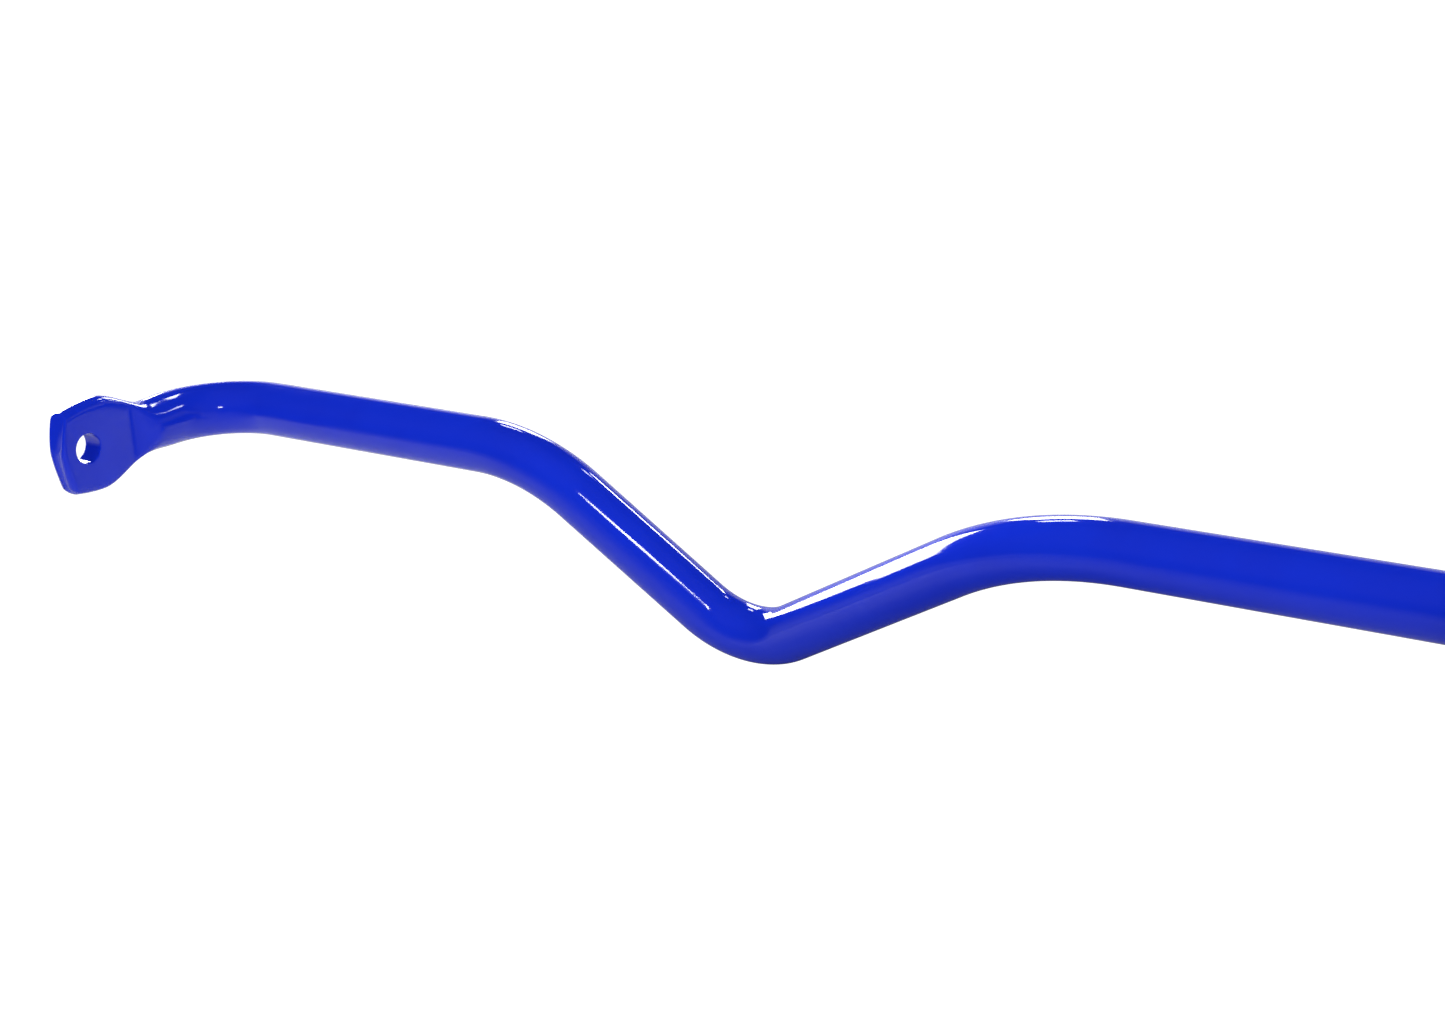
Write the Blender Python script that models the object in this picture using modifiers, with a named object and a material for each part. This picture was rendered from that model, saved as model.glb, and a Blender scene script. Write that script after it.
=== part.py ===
"""Sway bar: a forged steel bar with flattened eyes, held by two bushes in pressed saddles.

Metres, +Z up. X runs along the pivot axis of the bar, and the origin is the middle of that axis.
The two dips hang towards -Z, the arms point towards -Y, and the saddles bolt up to a chassis face
above the bar. Everything is worked out for the left half (-X) and mirrored.
"""

import math

import bmesh
import bpy
import numpy as np
from mathutils import Matrix, Vector

MM = 0.001

# Bar. Radii are those of its centre line.
BAR_DIAMETER = 22.0 * MM
ARM_SPACING = 1300.0 * MM      # from the middle of one arm to the middle of the other
OUTER_RUN = 164.0 * MM         # straight part of the axis, from the arm to the dip
DIP_OUTER_RUN = 80.0 * MM      # along the axis, from the dip's outer corner to its bottom
DIP_INNER_RUN = 124.5 * MM     # along the axis, from the dip's bottom to its inner corner
DIP_DEPTH = 81.0 * MM
ARM_LENGTH = 77.0 * MM         # from the axis to the middle of the eye's hole
ARM_RISE = math.radians(20.4)
INNER_BEND = 121.0 * MM
DIP_BEND = 31.0 * MM
OUTER_BEND = 58.0 * MM
ARM_BEND = 31.0 * MM
BAR_SIDES = 20
BEND_STEP = math.radians(9.0)

# Eye, flattened from the end of the bar.
EYE_THICKNESS = 9.0 * MM
EYE_WIDTH = 37.5 * MM
EYE_FACE_WIDTH = 34.5 * MM     # the flat, between the bulged sides
EYE_END_WIDTH = 33.0 * MM      # over the corners of the end
EYE_BEYOND_HOLE = 12.2 * MM    # from the middle of the hole to the end
EYE_END_RADIUS = 44.0 * MM
EYE_FULL_AT = 9.0 * MM        # before the hole's middle, where the eye reaches its width
NECK_LENGTH = 24.0 * MM        # from there back to the round bar
LINK_HOLE_DIAMETER = 12.5 * MM

# Bush and saddle.
GAP = 0.3 * MM                 # left between two pieces that touch
SADDLE_CENTRE = 110.0 * MM     # from the middle of the bar
BUSH_WALL = 8.0 * MM
BUSH_FLANGE_HEIGHT = 3.5 * MM
BUSH_FLANGE_WIDTH = 4.0 * MM
BUSH_SLIT = 1.2 * MM
BUSH_OVER_BAR = 7.0 * MM       # from the top of the bar to the bush's flat side
SADDLE_WIDTH = 28.0 * MM
SADDLE_THICKNESS = 4.0 * MM
SADDLE_BEND = 4.0 * MM
SADDLE_CORNER = 7.0 * MM
FOOT_EDGE = 11.0 * MM          # from the middle of a bolt hole to the end of the foot

# Saddle bolts, flange heads down, and their washers.
BOLT_DIAMETER = 10.0 * MM
BOLT_REACH = 22.0 * MM         # that the shank stands above the foot
BOLT_ACROSS_FLATS = 15.0 * MM
BOLT_HEAD_HEIGHT = 9.0 * MM
BOLT_FLANGE_DIAMETER = 20.0 * MM
BOLT_FLANGE_HEIGHT = 3.0 * MM
BOLT_FLANGE_RIM = 1.2 * MM
BOLT_TIP = 1.2 * MM
BOLT_CLEARANCE = 0.4 * MM      # between a shank and the hole it passes through
WASHER_DIAMETER = 21.0 * MM
WASHER_THICKNESS = 2.0 * MM

# Lock collars, each in two halves with two socket screws.
COLLAR_RUNNING_GAP = 0.5 * MM  # between a collar and its bush
COLLAR_WIDTH = 12.0 * MM
COLLAR_WALL = 2.0 * MM         # from a screw's head out to the collar's rim
COLLAR_SPLIT = 1.0 * MM
SCREW_DIAMETER = 5.0 * MM
SCREW_HEAD_DIAMETER = 8.5 * MM
SCREW_HEAD_HEIGHT = 5.0 * MM
SCREW_ACROSS_FLATS = 4.0 * MM
SCREW_SOCKET_DEPTH = 2.5 * MM
SCREW_LENGTH = 14.0 * MM       # under its head
SCREW_WALL = 1.7 * MM          # between the bar and a screw's hole
SCREW_CLEARANCE = 0.3 * MM
SCREW_SEAT = 6.0 * MM          # from the split up to the floor of a screw's counterbore

ROUND_SIDES = 24
SMALL_SIDES = 16
SHARP = math.radians(32.0)
CUT_PAST = 1.0 * MM            # that a cutter stands past the face it cuts
WELD = 0.00001

BLUE = (0.007, 0.019, 0.53)
AMBER = (0.62, 0.055, 0.012)
ZINC = (0.62, 0.60, 0.52)
STEEL = (0.42, 0.43, 0.45)
ALLOY = (0.74, 0.75, 0.77)
BLACK_OXIDE = (0.03, 0.03, 0.035)

LEFT, RIGHT = -1.0, 1.0
SIDES = (("left", LEFT), ("right", RIGHT))


# ---------------------------------------------------------------- helpers

def clear_scene():
    """Removes every object, so that the part is alone in the file."""
    for obj in list(bpy.data.objects):
        bpy.data.objects.remove(obj, do_unlink=True)


def add_collection(name, is_helper=False):
    collection = bpy.data.collections.new(name)
    bpy.context.scene.collection.children.link(collection)
    collection.hide_render = is_helper
    return collection


def make_material(name, colour, metallic, roughness):
    material = bpy.data.materials.new(name)
    material.use_nodes = True
    shader = material.node_tree.nodes["Principled BSDF"]
    shader.inputs["Base Color"].default_value = (*colour, 1.0)
    shader.inputs["Metallic"].default_value = metallic
    shader.inputs["Roughness"].default_value = roughness
    return material


def place(name, mesh, collection, material=None, parent=None, matrix=None):
    """Links a new object for the mesh. The matrix is its place in the parent's space."""
    obj = bpy.data.objects.new(name, mesh)
    collection.objects.link(obj)
    if material is not None:
        obj.data.materials.clear()
        obj.data.materials.append(material)
    obj.parent = parent
    if matrix is not None:
        obj.matrix_local = matrix
    return obj


def mesh_from_bmesh(name, shape):
    """Closes the bmesh into a smooth-shaded mesh with its sharp edges marked."""
    bmesh.ops.recalc_face_normals(shape, faces=shape.faces)
    mesh = bpy.data.meshes.new(name)
    shape.to_mesh(mesh)
    shape.free()
    mesh.shade_smooth()
    mesh.set_sharp_from_angle(angle=SHARP)
    return mesh


def applied(obj):
    """The object's mesh with its modifiers applied. The object itself is removed."""
    bpy.context.view_layer.update()
    graph = bpy.context.evaluated_depsgraph_get()
    mesh = bpy.data.meshes.new_from_object(obj.evaluated_get(graph), depsgraph=graph)
    mesh.name = obj.name
    bpy.data.objects.remove(obj, do_unlink=True)
    return mesh


def boolean(obj, cutter, operation="DIFFERENCE"):
    modifier = obj.modifiers.new(cutter.name, "BOOLEAN")
    modifier.operation = operation
    modifier.object = cutter
    modifier.solver = "EXACT"


def add_cutter(name, mesh, collection, parent=None, matrix=None):
    cutter = place(name, mesh, collection, parent=parent, matrix=matrix)
    cutter.display_type = "WIRE"
    cutter.hide_render = True
    return cutter


def cylinder_mesh(name, radius, length, sides, axis="Z"):
    """A cylinder centred on the origin, along Z or X."""
    shape = bmesh.new()
    bmesh.ops.create_cone(
        shape, cap_ends=True, segments=sides, radius1=radius, radius2=radius, depth=length
    )
    if axis == "X":
        turn = Matrix.Rotation(math.pi / 2, 3, "Y")
        bmesh.ops.rotate(shape, verts=shape.verts, matrix=turn)
    return mesh_from_bmesh(name, shape)


def box_mesh(name, size):
    shape = bmesh.new()
    bmesh.ops.create_cube(shape, size=1.0)
    bmesh.ops.scale(shape, verts=shape.verts, vec=size)
    return mesh_from_bmesh(name, shape)


def arc(centre, radius, start, end, count):
    """Points on a circle in a plane, from one angle to another, both ends included."""
    angles = np.linspace(start, end, count + 1)
    return [(centre[0] + radius * math.cos(a), centre[1] + radius * math.sin(a)) for a in angles]


def extruded_mesh(name, outline, thickness, collection):
    """A flat outline in Y and Z, extruded along X about the origin."""
    curve = bpy.data.curves.new(name, "CURVE")
    curve.dimensions = "2D"
    curve.fill_mode = "BOTH"
    curve.extrude = thickness / 2
    spline = curve.splines.new("POLY")
    spline.points.add(len(outline) - 1)
    for point, (y, z) in zip(spline.points, outline):
        point.co = (y, z, 0.0, 1.0)
    spline.use_cyclic_u = True
    mesh = applied(place(name, curve, collection))
    # The curve's own X, Y and Z become Y, Z and X.
    mesh.transform(Matrix(((0, 0, 1, 0), (1, 0, 0, 0), (0, 1, 0, 0), (0, 0, 0, 1))))
    shape = bmesh.new()
    shape.from_mesh(mesh)
    bmesh.ops.remove_doubles(shape, verts=shape.verts, dist=WELD)
    return mesh_from_bmesh(name, shape)


def turned_mesh(name, profile, sides, collection):
    """A profile of (radius, height) pairs turned about Z. It runs down its outer side."""
    mesh = bpy.data.meshes.new(name)
    points = [(radius, 0.0, height) for radius, height in profile]
    edges = [(i, i + 1) for i in range(len(points) - 1)]
    mesh.from_pydata(points, edges, [])
    obj = place(name, mesh, collection)
    screw = obj.modifiers.new("turn", "SCREW")
    screw.steps = screw.render_steps = sides
    screw.use_merge_vertices = True
    screw.merge_threshold = WELD
    shape = bmesh.new()
    shape.from_mesh(applied(obj))
    bmesh.ops.remove_doubles(shape, verts=shape.verts, dist=WELD)
    return mesh_from_bmesh(name, shape)


# ---------------------------------------------------------------- bar

def bar_corners():
    """The corners of the left half's centre line, from the middle of the bar to the eye."""
    arm_x = -ARM_SPACING / 2
    dip_outer_x = arm_x + OUTER_RUN
    dip_x = dip_outer_x + DIP_OUTER_RUN
    dip_inner_x = dip_x + DIP_INNER_RUN
    neck_start = ARM_LENGTH - EYE_FULL_AT - NECK_LENGTH
    return [
        Vector((0.0, 0.0, 0.0)),
        Vector((dip_inner_x, 0.0, 0.0)),
        Vector((dip_x, 0.0, -DIP_DEPTH)),
        Vector((dip_outer_x, 0.0, 0.0)),
        Vector((arm_x, 0.0, 0.0)),
        Vector((arm_x, 0.0, 0.0)) + arm_direction() * neck_start,
    ]


def arm_direction():
    return Vector((0.0, -math.cos(ARM_RISE), math.sin(ARM_RISE)))


def across_arm():
    """The direction of the eye's width: square to the arm and to the pivot axis."""
    return Vector((0.0, math.sin(ARM_RISE), math.cos(ARM_RISE)))


def eye_centre(side):
    centre = arm_direction() * ARM_LENGTH
    return Vector((side * ARM_SPACING / 2, centre.y, centre.z))


def filleted(corners, radii):
    """The path through the corners with each inner one rounded to its radius, as points."""
    path = [corners[0]]
    for before, corner, after, radius in zip(corners, corners[1:], corners[2:], radii):
        inward = (corner - before).normalized()
        outward = (after - corner).normalized()
        turn = inward.angle(outward)
        start = corner - inward * radius * math.tan(turn / 2)
        towards_centre = (outward - inward * math.cos(turn)).normalized()
        steps = max(2, round(turn / BEND_STEP))
        for step in range(steps + 1):
            angle = turn * step / steps
            along = inward * math.sin(angle)
            path.append(start + (along + towards_centre * (1 - math.cos(angle))) * radius)
    path.append(corners[-1])
    return path


def eye_section(flattened, width, face_width):
    """(x, across) of each point round the eye: the round bar's section blended to the flat one."""
    quarter = BAR_SIDES // 4
    section = []
    for k in range(BAR_SIDES):
        angle = 2 * math.pi * k / BAR_SIDES
        circle = Vector((math.cos(angle), math.sin(angle))) * (BAR_DIAMETER / 2)
        # The flat face runs over all but the last point of each quarter, and the side bulges there.
        step = k % (2 * quarter)
        across = min(step, 2 * quarter - step) / (quarter - 1) * face_width / 2
        face = 1.0 if k < quarter or k > 3 * quarter else -1.0
        if k % (2 * quarter) == quarter:
            flat = Vector((0.0, width / 2))
        else:
            flat = Vector((face * EYE_THICKNESS / 2, across))
        if k > 2 * quarter:
            flat.y = -flat.y
        section.append(circle.lerp(flat, flattened))
    return section


def eye_stations():
    """(distance from the hole's middle, flattened share, width share) of each section of the eye."""
    neck = [(step / 7, EYE_FULL_AT + NECK_LENGTH * (1 - step / 7)) for step in range(1, 8)]
    stations = [(-back, share * share * (3 - 2 * share), 1.0) for share, back in neck]
    end = EYE_BEYOND_HOLE
    for share in (0.25, 0.6, 0.85, 1.0):
        along = -EYE_FULL_AT + (end + EYE_FULL_AT) * share
        narrowing = 1.0 - (1.0 - EYE_END_WIDTH / EYE_WIDTH) * share * share
        stations.append((along, 1.0, narrowing))
    return stations


def number_ring(ring, index):
    """Numbers the points of the bar's open end as eye_section does. A point extruded later keeps it."""
    centre, across = eye_centre(LEFT), across_arm()
    for point in {point for edge in ring for point in edge.verts}:
        offset = point.co - centre
        angle = math.atan2(offset.dot(across), offset.x)
        point[index] = round(angle / (2 * math.pi) * BAR_SIDES) % BAR_SIDES


def add_eye(shape, ring, index):
    """Carries the ring of edges at the end of the bar on, section by section, and closes its end."""
    centre = eye_centre(LEFT)
    arm, across = arm_direction(), across_arm()
    for along, flattened, narrowing in eye_stations():
        section = eye_section(flattened, EYE_WIDTH * narrowing, EYE_FACE_WIDTH * narrowing)
        made = bmesh.ops.extrude_edge_only(shape, edges=ring)["geom"]
        points = [item for item in made if isinstance(item, bmesh.types.BMVert)]
        ring = [item for item in made if isinstance(item, bmesh.types.BMEdge)]
        share_of_end = max(0.0, along / EYE_BEYOND_HOLE)
        for point in points:
            x, w = section[point[index]]
            arc_back = EYE_END_RADIUS - math.sqrt(EYE_END_RADIUS**2 - w * w)
            point.co = centre + arm * (along - arc_back * share_of_end) + across * w
            point.co.x += x
    bmesh.ops.contextual_create(shape, geom=ring)


def half_bar_mesh(collection):
    """The left half, open at the middle plane: the round bar from a curve, and its eye."""
    curve = bpy.data.curves.new("half_bar", "CURVE")
    curve.dimensions = "3D"
    curve.bevel_depth = BAR_DIAMETER / 2
    curve.bevel_resolution = (BAR_SIDES - 4) // 2
    curve.use_fill_caps = False
    path = filleted(bar_corners(), (INNER_BEND, DIP_BEND, OUTER_BEND, ARM_BEND))
    spline = curve.splines.new("POLY")
    spline.points.add(len(path) - 1)
    for point, place_on_path in zip(spline.points, path):
        point.co = (*place_on_path, 1.0)
        # This turns the round section until two of its points lie on the eye's faces.
        point.tilt = ARM_RISE
    shape = bmesh.new()
    shape.from_mesh(applied(place("half_bar", curve, collection)))
    bmesh.ops.remove_doubles(shape, verts=shape.verts, dist=WELD)
    index = shape.verts.layers.int.new("place_round_bar")
    # The half is open at the middle of the bar and at the eye.
    ring = [
        edge
        for edge in shape.edges
        if edge.is_boundary and edge.verts[0].co.x < -ARM_SPACING / 4
    ]
    number_ring(ring, index)
    add_eye(shape, ring, index)
    shape.verts.layers.int.remove(index)
    return mesh_from_bmesh("sway_bar", shape)


def add_bar(parts, cutters, pivot):
    bar = place("sway_bar", half_bar_mesh(parts), parts, make_material(
        "blue_powder_coat", BLUE, 0.0, 0.12), pivot)
    mirror = bar.modifiers.new("both_halves", "MIRROR")
    mirror.use_axis = (True, False, False)
    mirror.use_clip = True
    mirror.merge_threshold = WELD
    hole = cylinder_mesh(
        "link_hole_cutter", LINK_HOLE_DIAMETER / 2, EYE_THICKNESS + 2 * CUT_PAST, ROUND_SIDES, "X"
    )
    for name, side in SIDES:
        place_of_hole = Matrix.Translation(eye_centre(side))
        boolean(bar, add_cutter(f"link_hole_{name}", hole, cutters, pivot, place_of_hole))


# ---------------------------------------------------------------- bush and saddle

def bush_radius():
    return BAR_DIAMETER / 2 + GAP + BUSH_WALL


def chassis_height():
    """The height of the chassis face above the pivot axis. The bush and the feet end there."""
    return BAR_DIAMETER / 2 + BUSH_OVER_BAR


def bush_length():
    return SADDLE_WIDTH + 2 * (GAP + BUSH_FLANGE_WIDTH)


def bolt_offset():
    """From the pivot axis to the middle of a bolt, so that its washer clears the saddle's bend."""
    wall = bush_radius() + GAP + SADDLE_THICKNESS
    return wall + SADDLE_BEND / 2 + WASHER_DIAMETER / 2


def d_outline(radius, height):
    """A half circle below the axis with straight sides up to a flat at this height."""
    return [(radius, height)] + arc((0.0, 0.0), radius, 0.0, -math.pi, SMALL_SIDES) + [
        (-radius, height)
    ]


def groove_outline():
    """A U round the bush's body, which leaves a flange at each end where it is cut away."""
    past_flange = bush_radius() + BUSH_FLANGE_HEIGHT + CUT_PAST
    above = chassis_height() + CUT_PAST
    return d_outline(past_flange, above) + d_outline(bush_radius(), above)[::-1]


def bush_mesh(parts, cutters):
    """A D-section bush: a body in the saddle, a flange at each end, a bore and a slit."""
    flange_radius = bush_radius() + BUSH_FLANGE_HEIGHT
    outline = d_outline(flange_radius, chassis_height())
    bush = place("bush", extruded_mesh("bush", outline, bush_length(), parts), parts)
    groove_width = bush_length() - 2 * BUSH_FLANGE_WIDTH
    groove = extruded_mesh("bush_groove", groove_outline(), groove_width, parts)
    bore_radius = (BAR_DIAMETER / 2 + GAP) / math.cos(math.pi / ROUND_SIDES)
    length = bush_length() + 2 * CUT_PAST
    bore = cylinder_mesh("bush_bore", bore_radius, length, ROUND_SIDES, "X")
    slit_length = flange_radius + CUT_PAST
    slit = box_mesh("bush_slit", (length, slit_length, BUSH_SLIT))
    slit_at = Matrix.Translation((0.0, slit_length / 2, 0.0))
    cuts = (("groove", groove, Matrix()), ("bore", bore, Matrix()), ("slit", slit, slit_at))
    helpers = [add_cutter(name, mesh, cutters, matrix=matrix) for name, mesh, matrix in cuts]
    for helper in helpers:
        boolean(bush, helper)
    mesh = applied(bush)
    for helper in helpers:
        bpy.data.objects.remove(helper, do_unlink=True)
    return mesh


def saddle_profile():
    """The side of the strap that faces the bush and the chassis, from one foot to the other."""
    inside = bush_radius() + GAP
    top = chassis_height()
    foot_end = bolt_offset() + FOOT_EDGE
    bend = (inside + SADDLE_BEND, top - SADDLE_BEND)
    right = [(foot_end, top)] + arc(bend, SADDLE_BEND, math.pi / 2, math.pi, 4)
    under = arc((0.0, 0.0), inside, 0.0, -math.pi, SMALL_SIDES)
    left = [(-y, z) for y, z in reversed(right)]
    return right + under + left


def saddle_mesh(parts, cutters):
    """The strap as an open strip, thickened away from the bush, with two bolt holes."""
    profile = saddle_profile()
    half = SADDLE_WIDTH / 2
    shape = bmesh.new()
    rows = [[shape.verts.new((x, y, z)) for y, z in profile] for x in (-half, half)]
    for near, far in zip(zip(rows[0], rows[0][1:]), zip(rows[1], rows[1][1:])):
        shape.faces.new((near[0], near[1], far[1], far[0]))
    mesh = bpy.data.meshes.new("saddle")
    shape.to_mesh(mesh)
    shape.free()
    saddle = place("saddle", mesh, parts)
    thicken = saddle.modifiers.new("thickness", "SOLIDIFY")
    thicken.thickness = SADDLE_THICKNESS
    thicken.offset = -1.0
    thicken.use_even_offset = True
    # The strip's faces look at the bush, so the wall grows away from it.
    strap = round_feet(applied(saddle))
    saddle = place("saddle", strap, parts)
    radius = BOLT_DIAMETER / 2 + BOLT_CLEARANCE
    hole = cylinder_mesh("bolt_hole", radius, SADDLE_THICKNESS + 2 * CUT_PAST, SMALL_SIDES)
    helpers = []
    for side in (LEFT, RIGHT):
        at = (0.0, side * bolt_offset(), chassis_height() - SADDLE_THICKNESS / 2)
        helper = add_cutter("bolt_hole", hole, cutters, matrix=Matrix.Translation(at))
        boolean(saddle, helper)
        helpers.append(helper)
    mesh = applied(saddle)
    for helper in helpers:
        bpy.data.objects.remove(helper, do_unlink=True)
    return mesh


def round_feet(mesh):
    """Rounds the four outer corners of the feet, whose edges stand upright."""
    shape = bmesh.new()
    shape.from_mesh(mesh)
    end = bolt_offset() + FOOT_EDGE - CUT_PAST
    corners = [
        edge
        for edge in shape.edges
        if min(abs(v.co.y) for v in edge.verts) > end
        and abs(edge.verts[0].co.x - edge.verts[1].co.x) < WELD
    ]
    bmesh.ops.bevel(
        shape, geom=corners, offset=SADDLE_CORNER, segments=4, profile=0.5, affect="EDGES"
    )
    return mesh_from_bmesh("saddle", shape)


def washer_mesh(parts):
    inner = BOLT_DIAMETER / 2 + BOLT_CLEARANCE
    outer, half = WASHER_DIAMETER / 2, WASHER_THICKNESS / 2
    profile = [(inner, half), (outer, half), (outer, -half), (inner, -half), (inner, half)]
    return turned_mesh("washer", profile, ROUND_SIDES, parts)


def bolt_mesh(parts, cutters):
    """A flange bolt along Z. Its flange's seat is at the origin and its head is below."""
    shank, tip = BOLT_DIAMETER / 2, BOLT_DIAMETER / 2 - BOLT_TIP
    rim, flange = BOLT_FLANGE_DIAMETER / 2, -BOLT_FLANGE_HEIGHT
    length = GAP + WASHER_THICKNESS + GAP + SADDLE_THICKNESS + BOLT_REACH
    profile = [
        (0.0, length),
        (tip, length),
        (shank, length - BOLT_TIP),
        (shank, 0.0),
        (rim, 0.0),
        (rim, -BOLT_FLANGE_RIM),
        (BOLT_ACROSS_FLATS / 2, flange),
        (0.0, flange),
    ]
    bolt = place("bolt", turned_mesh("bolt", profile, ROUND_SIDES, parts), parts)
    shape = bmesh.new()
    corner = BOLT_ACROSS_FLATS / 2 / math.cos(math.pi / 6)
    height = BOLT_HEAD_HEIGHT - BOLT_FLANGE_RIM
    bmesh.ops.create_cone(
        shape, cap_ends=True, segments=6, radius1=corner, radius2=corner, depth=height
    )
    hexagon = mesh_from_bmesh("hexagon", shape)
    at = Matrix.Translation((0.0, 0.0, -BOLT_FLANGE_RIM - height / 2))
    helper = add_cutter("hexagon", hexagon, cutters, matrix=at)
    boolean(bolt, helper, "UNION")
    mesh = applied(bolt)
    bpy.data.objects.remove(helper, do_unlink=True)
    return mesh


def add_mounting(name, side, meshes, materials, parts):
    """One saddle with its bush, bolts and washers, on an empty at its middle on the axis."""
    holder = place(f"mounting_{name}", None, parts, matrix=Matrix.Translation(
        (side * SADDLE_CENTRE, 0.0, 0.0)))
    place(f"bush_{name}", meshes["bush"], parts, materials["bush"], holder)
    place(f"saddle_{name}", meshes["saddle"], parts, materials["saddle"], holder)
    washer_at = chassis_height() - SADDLE_THICKNESS - GAP - WASHER_THICKNESS / 2
    seat_at = washer_at - WASHER_THICKNESS / 2 - GAP
    for place_name, direction in (("front", -1.0), ("rear", 1.0)):
        y = direction * bolt_offset()
        washer_place = Matrix.Translation((0.0, y, washer_at))
        bolt_place = Matrix.Translation((0.0, y, seat_at))
        label = f"{name}_{place_name}"
        place(f"washer_{label}", meshes["washer"], parts, materials["washer"], holder, washer_place)
        place(f"saddle_bolt_{label}", meshes["bolt"], parts, materials["bolt"], holder, bolt_place)


# ---------------------------------------------------------------- lock collars

def screw_offset():
    """From the pivot axis to the middle of a collar screw."""
    return BAR_DIAMETER / 2 + GAP + SCREW_WALL + SCREW_CLEARANCE + SCREW_DIAMETER / 2


def collar_radius():
    return screw_offset() + SCREW_HEAD_DIAMETER / 2 + COLLAR_WALL


def collar_half_mesh(parts, cutters, threaded):
    """The upper half of a split collar. The threaded half has plain holes, the other has heads."""
    inner, outer = BAR_DIAMETER / 2 + GAP, collar_radius()
    split = COLLAR_SPLIT / 2
    outer_start, inner_start = math.asin(split / outer), math.asin(split / inner)
    outline = arc((0.0, 0.0), outer, outer_start, math.pi - outer_start, ROUND_SIDES)
    outline += arc((0.0, 0.0), inner, math.pi - inner_start, inner_start, SMALL_SIDES)
    half = place("half", extruded_mesh("half", outline, COLLAR_WIDTH, parts), parts)
    reach = 2 * outer
    hole_radius = SCREW_DIAMETER / 2 + SCREW_CLEARANCE
    hole = cylinder_mesh("screw_hole", hole_radius, reach, SMALL_SIDES)
    head_radius = SCREW_HEAD_DIAMETER / 2 + SCREW_CLEARANCE
    head = cylinder_mesh("counterbore", head_radius, reach, SMALL_SIDES)
    helpers = []
    for side in (LEFT, RIGHT):
        y = side * screw_offset()
        cuts = [("screw_hole", hole, (0.0, y, 0.0))]
        if not threaded:
            cuts.append(("counterbore", head, (0.0, y, SCREW_SEAT + reach / 2)))
        for name, mesh, at in cuts:
            helper = add_cutter(name, mesh, cutters, matrix=Matrix.Translation(at))
            boolean(half, helper)
            helpers.append(helper)
    mesh = applied(half)
    for helper in helpers:
        bpy.data.objects.remove(helper, do_unlink=True)
    return mesh


def screw_mesh(parts, cutters):
    """A socket head screw along Z with its head's seat at the origin and its shank below."""
    shank, head = SCREW_DIAMETER / 2, SCREW_HEAD_DIAMETER / 2
    profile = [
        (0.0, SCREW_HEAD_HEIGHT),
        (head, SCREW_HEAD_HEIGHT),
        (head, 0.0),
        (shank, 0.0),
        (shank, -SCREW_LENGTH),
        (0.0, -SCREW_LENGTH),
    ]
    screw = place("screw", turned_mesh("screw", profile, SMALL_SIDES, parts), parts)
    shape = bmesh.new()
    corner = SCREW_ACROSS_FLATS / 2 / math.cos(math.pi / 6)
    depth = SCREW_SOCKET_DEPTH + CUT_PAST
    bmesh.ops.create_cone(
        shape, cap_ends=True, segments=6, radius1=corner, radius2=corner, depth=depth
    )
    socket = mesh_from_bmesh("socket", shape)
    at = Matrix.Translation((0.0, 0.0, SCREW_HEAD_HEIGHT + CUT_PAST - depth / 2))
    helper = add_cutter("socket", socket, cutters, matrix=at)
    boolean(screw, helper)
    mesh = applied(screw)
    bpy.data.objects.remove(helper, do_unlink=True)
    return mesh


def add_collar(name, side, meshes, materials, parts, pivot):
    """A lock collar on the bar, on the inner side of its bush, with its screws from above."""
    x = side * (SADDLE_CENTRE - bush_length() / 2 - COLLAR_RUNNING_GAP - COLLAR_WIDTH / 2)
    upper = Matrix.Translation((x, 0.0, 0.0))
    lower = upper @ Matrix.Rotation(math.pi, 4, "X")
    alloy = materials["collar"]
    place(f"lock_collar_upper_{name}", meshes["collar_upper"], parts, alloy, pivot, upper)
    place(f"lock_collar_lower_{name}", meshes["collar_lower"], parts, alloy, pivot, lower)
    for place_name, direction in (("front", -1.0), ("rear", 1.0)):
        at = Matrix.Translation((x, direction * screw_offset(), SCREW_SEAT + GAP))
        label = f"{name}_{place_name}"
        place(f"collar_screw_{label}", meshes["screw"], parts, materials["screw"], pivot, at)


# ---------------------------------------------------------------- assembly

def main():
    clear_scene()
    parts = add_collection("sway_bar_assembly")
    cutters = add_collection("cutters", is_helper=True)
    pivot = place("bar_pivot", None, parts)
    add_bar(parts, cutters, pivot)
    materials = {
        "bush": make_material("amber_polyurethane", AMBER, 0.0, 0.45),
        "saddle": make_material("zinc_plated_steel", ZINC, 1.0, 0.38),
        "bolt": make_material("zinc_plated_bolt", ZINC, 1.0, 0.32),
        "washer": make_material("washer_steel", STEEL, 1.0, 0.35),
        "collar": make_material("turned_alloy", ALLOY, 1.0, 0.28),
        "screw": make_material("black_oxide", BLACK_OXIDE, 1.0, 0.42),
    }
    meshes = {
        "bush": bush_mesh(parts, cutters),
        "saddle": saddle_mesh(parts, cutters),
        "washer": washer_mesh(parts),
        "bolt": bolt_mesh(parts, cutters),
        "collar_upper": collar_half_mesh(parts, cutters, threaded=False),
        "collar_lower": collar_half_mesh(parts, cutters, threaded=True),
        "screw": screw_mesh(parts, cutters),
    }
    for name, side in SIDES:
        add_mounting(name, side, meshes, materials, parts)
        add_collar(name, side, meshes, materials, parts, pivot)


main()
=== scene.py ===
"""Looks of a sway bar: the powder coated bar and the bushes, saddles and lock collars that hold it.

Metres. X runs along the pivot axis, the arms point towards -Y and the dips hang towards -Z. Every
piece is built in its place. The left half is worked out and the right half mirrors it.
"""

import logging
import math
from dataclasses import dataclass, field
from enum import Enum

import bmesh
import bpy
import numpy as np
from mathutils import Euler, Matrix, Vector


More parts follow.
